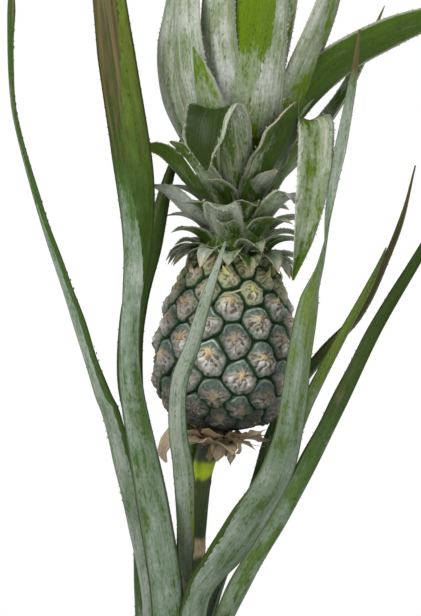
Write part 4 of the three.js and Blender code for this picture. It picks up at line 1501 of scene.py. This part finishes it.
# The first ones hang outwards, the next lie against the fruit, and the last hug the stalk.
def bractLeaf(i):
    rule = bractShape
    kind = next(kind for kind in bractKinds if i >= kind["first"])
    turn = rule["turn"] + i * goldenTurn
    (footLean, footStray), (tipLean, tipStray) = kind["lean"]
    leaf = arched({
        "turn": turn,
        "foot": around(turn, kind["out"], kind["height"] + kind["step"] * (i % kind["steps"])),
        "length": kind["size"] * rule["length"] + 7 * scatter(i, 14),
        "width": kind["size"] * rule["width"] + 4 * scatter(i, 13),
        "lean": (footLean + footStray * scatter(i, 19), tipLean + tipStray * scatter(i, 15)),
        "sweep": 24 * scatter(i, 18),
        "twist": 26 * scatter(i, 20),
        "base": 1,
        "widest": 0.4,
        "taper": 2.2,
        "fold": [20, 8],
        "count": 4,
        "bloom": [0.3, 0.5, 0.7, 0.8],
        "dry": [0.4 + 0.35 * scatter(i, 25)],
        "dark": [0.8, 0.4, 0.1, 0.0],
        "step": 2.2,
        "toothStep": 4.0,
        "toothLength": 1.3,
        "middle": 1.0,
        "edge": 0.5,
        "ripple": 3.0,
        "rippleLength": 13.0,
    })
    return leaned(leaf, fruitPlace)


# Loose ends that hang from the bracts: a torn tip in front, a thread and a curl at the right.
looseEnds = {
    "tip": {
        "faces": -100,
        "fold": [20, 10],
        "bloom": [0.9],
        "dry": [0.3],
        "toothLength": 0.8,
        "step": 2.0,
        "rows": [[-2, -24, 384, 12], [-9, -30, 374, 13], [-13, -34, 366, 8], [-10, -36, 358, 2]],
    },
    "thread": {
        "faces": -60,
        "fold": [10],
        "bloom": [0.2],
        "dry": [0.8],
        "toothLength": 0,
        "step": 2.0,
        "middle": 0.9,
        "rows": [[40, -22, 377, 6], [50, -27, 373, 2.4], [58, -30, 371, 1.6], [67, -31, 370, 1.2]],
    },
    "curl": {
        "faces": -80,
        "fold": [10],
        "bloom": [0.3],
        "dry": [0.7],
        "toothLength": 0,
        "step": 1.0,
        "middle": 0.9,
        "rows": [
            [44, -24, 376, 4], [47, -27, 371, 3], [47, -29, 366, 3],
            [43, -29, 365, 2.5], [42, -28, 368, 1.5],
        ],
    },
}

makePiece("stalk_skin", stalkBody(), stalkMaterial(), "stalk", "stalk")
bracts = [bractLeaf(i) for i in range(bractShape["count"])]
bracts = bladeParts(bracts, 131.7, 1.9) + bladeParts(looseEnds.values(), 151.0, 2.1)
makePiece("stalk_bracts", joinParts(bracts), bractMaterial, "stalk")
print("stalk made")

# ---- stem ----
stemShape = {
    "heights": [0, 4, 8, 24, 60, 100, 138, 154, 164, 172],
    "radii": [38, 36, 32.5, 28.2, 27.6, 27.3, 27, 20, 15, 11],
    "columns": 96,
    "rows": 130,
    "scarStep": 8.5,  # height of one leaf scar
    "scarDepth": 1.1,
    "scarRise": 0.8,  # the share of the height over which it swells
}
stemTones = {
    "bark": rgb(0.140, 0.100, 0.055),
    "paleBark": rgb(0.300, 0.240, 0.140),
    "scar": rgb(0.045, 0.030, 0.016),
    "young": rgb(0.260, 0.300, 0.160),
}


# A turned body whose radius is read off the profile, stepped by slanting leaf scars.
def stemBody():
    rule = stemShape
    top = rule["heights"][-1]
    z = np.linspace(0, top, rule["rows"])[:, None]
    angle = np.linspace(0, 2 * np.pi, rule["columns"] + 1)[:-1][None]
    radius = np.interp(z, rule["heights"], rule["radii"])
    slant = z / rule["scarStep"] + angle / (2 * np.pi)
    slant = slant + 0.25 * np.sin(3 * angle) + 0.1 * np.sin(7 * angle + z / 20)
    step, swell = slant - np.floor(slant), rule["scarRise"]
    scar = np.where(step < swell, step / swell, (1 - step) / (1 - swell))
    fade = smooth(z / 4) * (1 - smooth((z - top + 10) / 8))
    girth = radius - rule["scarDepth"] * (1 - scar) * fade
    rings = around(np.degrees(angle), girth, z)
    return closedTube(rings, {"scar": scar[..., None]})


def stemMaterial():
    material, tree, surface = newMaterial("stemBark")
    tone = stemTones
    place = put(tree, "TexCoord").outputs["Object"]
    cloud = clouds(tree, place, 70.0, 4.0, 0.6)
    fine = clouds(tree, place, 500.0, 3.0, 0.6)
    scarShare = spread(tree, mark(tree, "scar", "Fac"), 0.35, 0.05, 0.0, 0.85)
    youngShare = spread(tree, split(tree, place)[2], 0.09, 0.16, 0.0, 0.5)
    colour = colourMix(tree, cloud, tone["bark"], tone["paleBark"])
    colour = colourMix(tree, scarShare, colour, tone["scar"])
    colour = shaded(tree, colour, fine, 0.75, 1.15)
    colour = colourMix(tree, youngShare, colour, tone["young"])
    normal = bump(tree, calc(tree, "ADD", fine, cloud), 0.6, 0.0008)
    finishSurface(tree, surface, colour, spread(tree, cloud, 0, 1, 0.65, 0.85), normal)
    return material


makePiece("stem_bark", stemBody(), stemMaterial(), "stem", "stem")
print("stem made")

# ---- floor, light and camera ----
studio = {
    "floorRadius": 1.35,
    "floorSides": 96,
    "floorTone": (0.97, 0.97, 0.965, 1.0),
    "worldTone": (1.0, 1.0, 1.0, 1.0),
    "worldStrength": 0.62,
    "seenStrength": 1.0,
    "lights": {
        # place, size, watts
        "key": ((-1.7, -1.9, 2.3), 1.3, 92.0),
        "fill": ((1.5, -2.1, 0.9), 1.8, 26.0),
        "back": ((0.8, 2.2, 2.4), 1.6, 26.0),
    },
    "aim": (0.03, 0.0, 0.48),
}
# The height seen is that at the plant's middle, so the lens is the sensor's height times the
# distance over it.
cameraLook = {"place": (0.0244, -1.6, 0.4788), "heightSeen": 0.4928, "sensor": 36.0}


def makeFloor():
    sides = studio["floorSides"]
    rim = around(np.linspace(0, 360, sides + 1)[:-1], studio["floorRadius"], 0.0)
    mesh = bpy.data.meshes.new("floor")
    mesh.from_pydata(rim.tolist(), [], [list(range(sides))])
    material, tree, surface = newMaterial("floorPaper")
    mottle = grains(tree, put(tree, "TexCoord").outputs["Object"], 3.0)
    tone = studio["floorTone"]
    colour = colourMix(tree, mottle, tone, tuple(0.98 * n for n in tone[:3]) + (1.0,))
    tree.links.new(colour, surface.inputs["Base Color"])
    surface.inputs["Roughness"].default_value = 0.9
    mesh.materials.append(material)
    floor = bpy.data.objects.new("floor", mesh)
    bpy.context.scene.collection.objects.link(floor)


def makeLights():
    world = bpy.data.worlds.new("studio")
    world.use_nodes = True
    back = world.node_tree.nodes["Background"]
    back.inputs[0].default_value = studio["worldTone"]
    camera = put(world.node_tree, "LightPath").outputs["Is Camera Ray"]
    seen = spread(world.node_tree, camera, 0, 1, studio["worldStrength"], studio["seenStrength"])
    world.node_tree.links.new(seen, back.inputs[1])
    bpy.context.scene.world = world
    aim = np.array(studio["aim"])
    for name, (place, size, watts) in studio["lights"].items():
        data = bpy.data.lights.new(name, "AREA")
        data.shape, data.size, data.energy = "DISK", size, watts
        light = bpy.data.objects.new(name, data)
        light.location = place
        towards = aim - np.array(place)
        tilt = math.atan2(math.hypot(towards[0], towards[1]), -towards[2])
        light.rotation_euler = (tilt, 0, math.atan2(-towards[0], towards[1]))
        bpy.context.scene.collection.objects.link(light)


def makeCamera():
    data = bpy.data.cameras.new("camera")
    data.sensor_fit = "VERTICAL"
    place, sensor = cameraLook["place"], cameraLook["sensor"]
    data.sensor_height = sensor
    data.lens = sensor * -place[1] / cameraLook["heightSeen"]
    camera = bpy.data.objects.new("camera", data)
    camera.location = place
    camera.rotation_euler = (math.pi / 2, 0, 0)
    bpy.context.scene.collection.objects.link(camera)
    bpy.context.scene.camera = camera


makeFloor()
makeLights()
makeCamera()
bpy.context.scene.view_settings.view_transform = "Standard"
bpy.context.scene.view_settings.look = "None"
print("studio made")
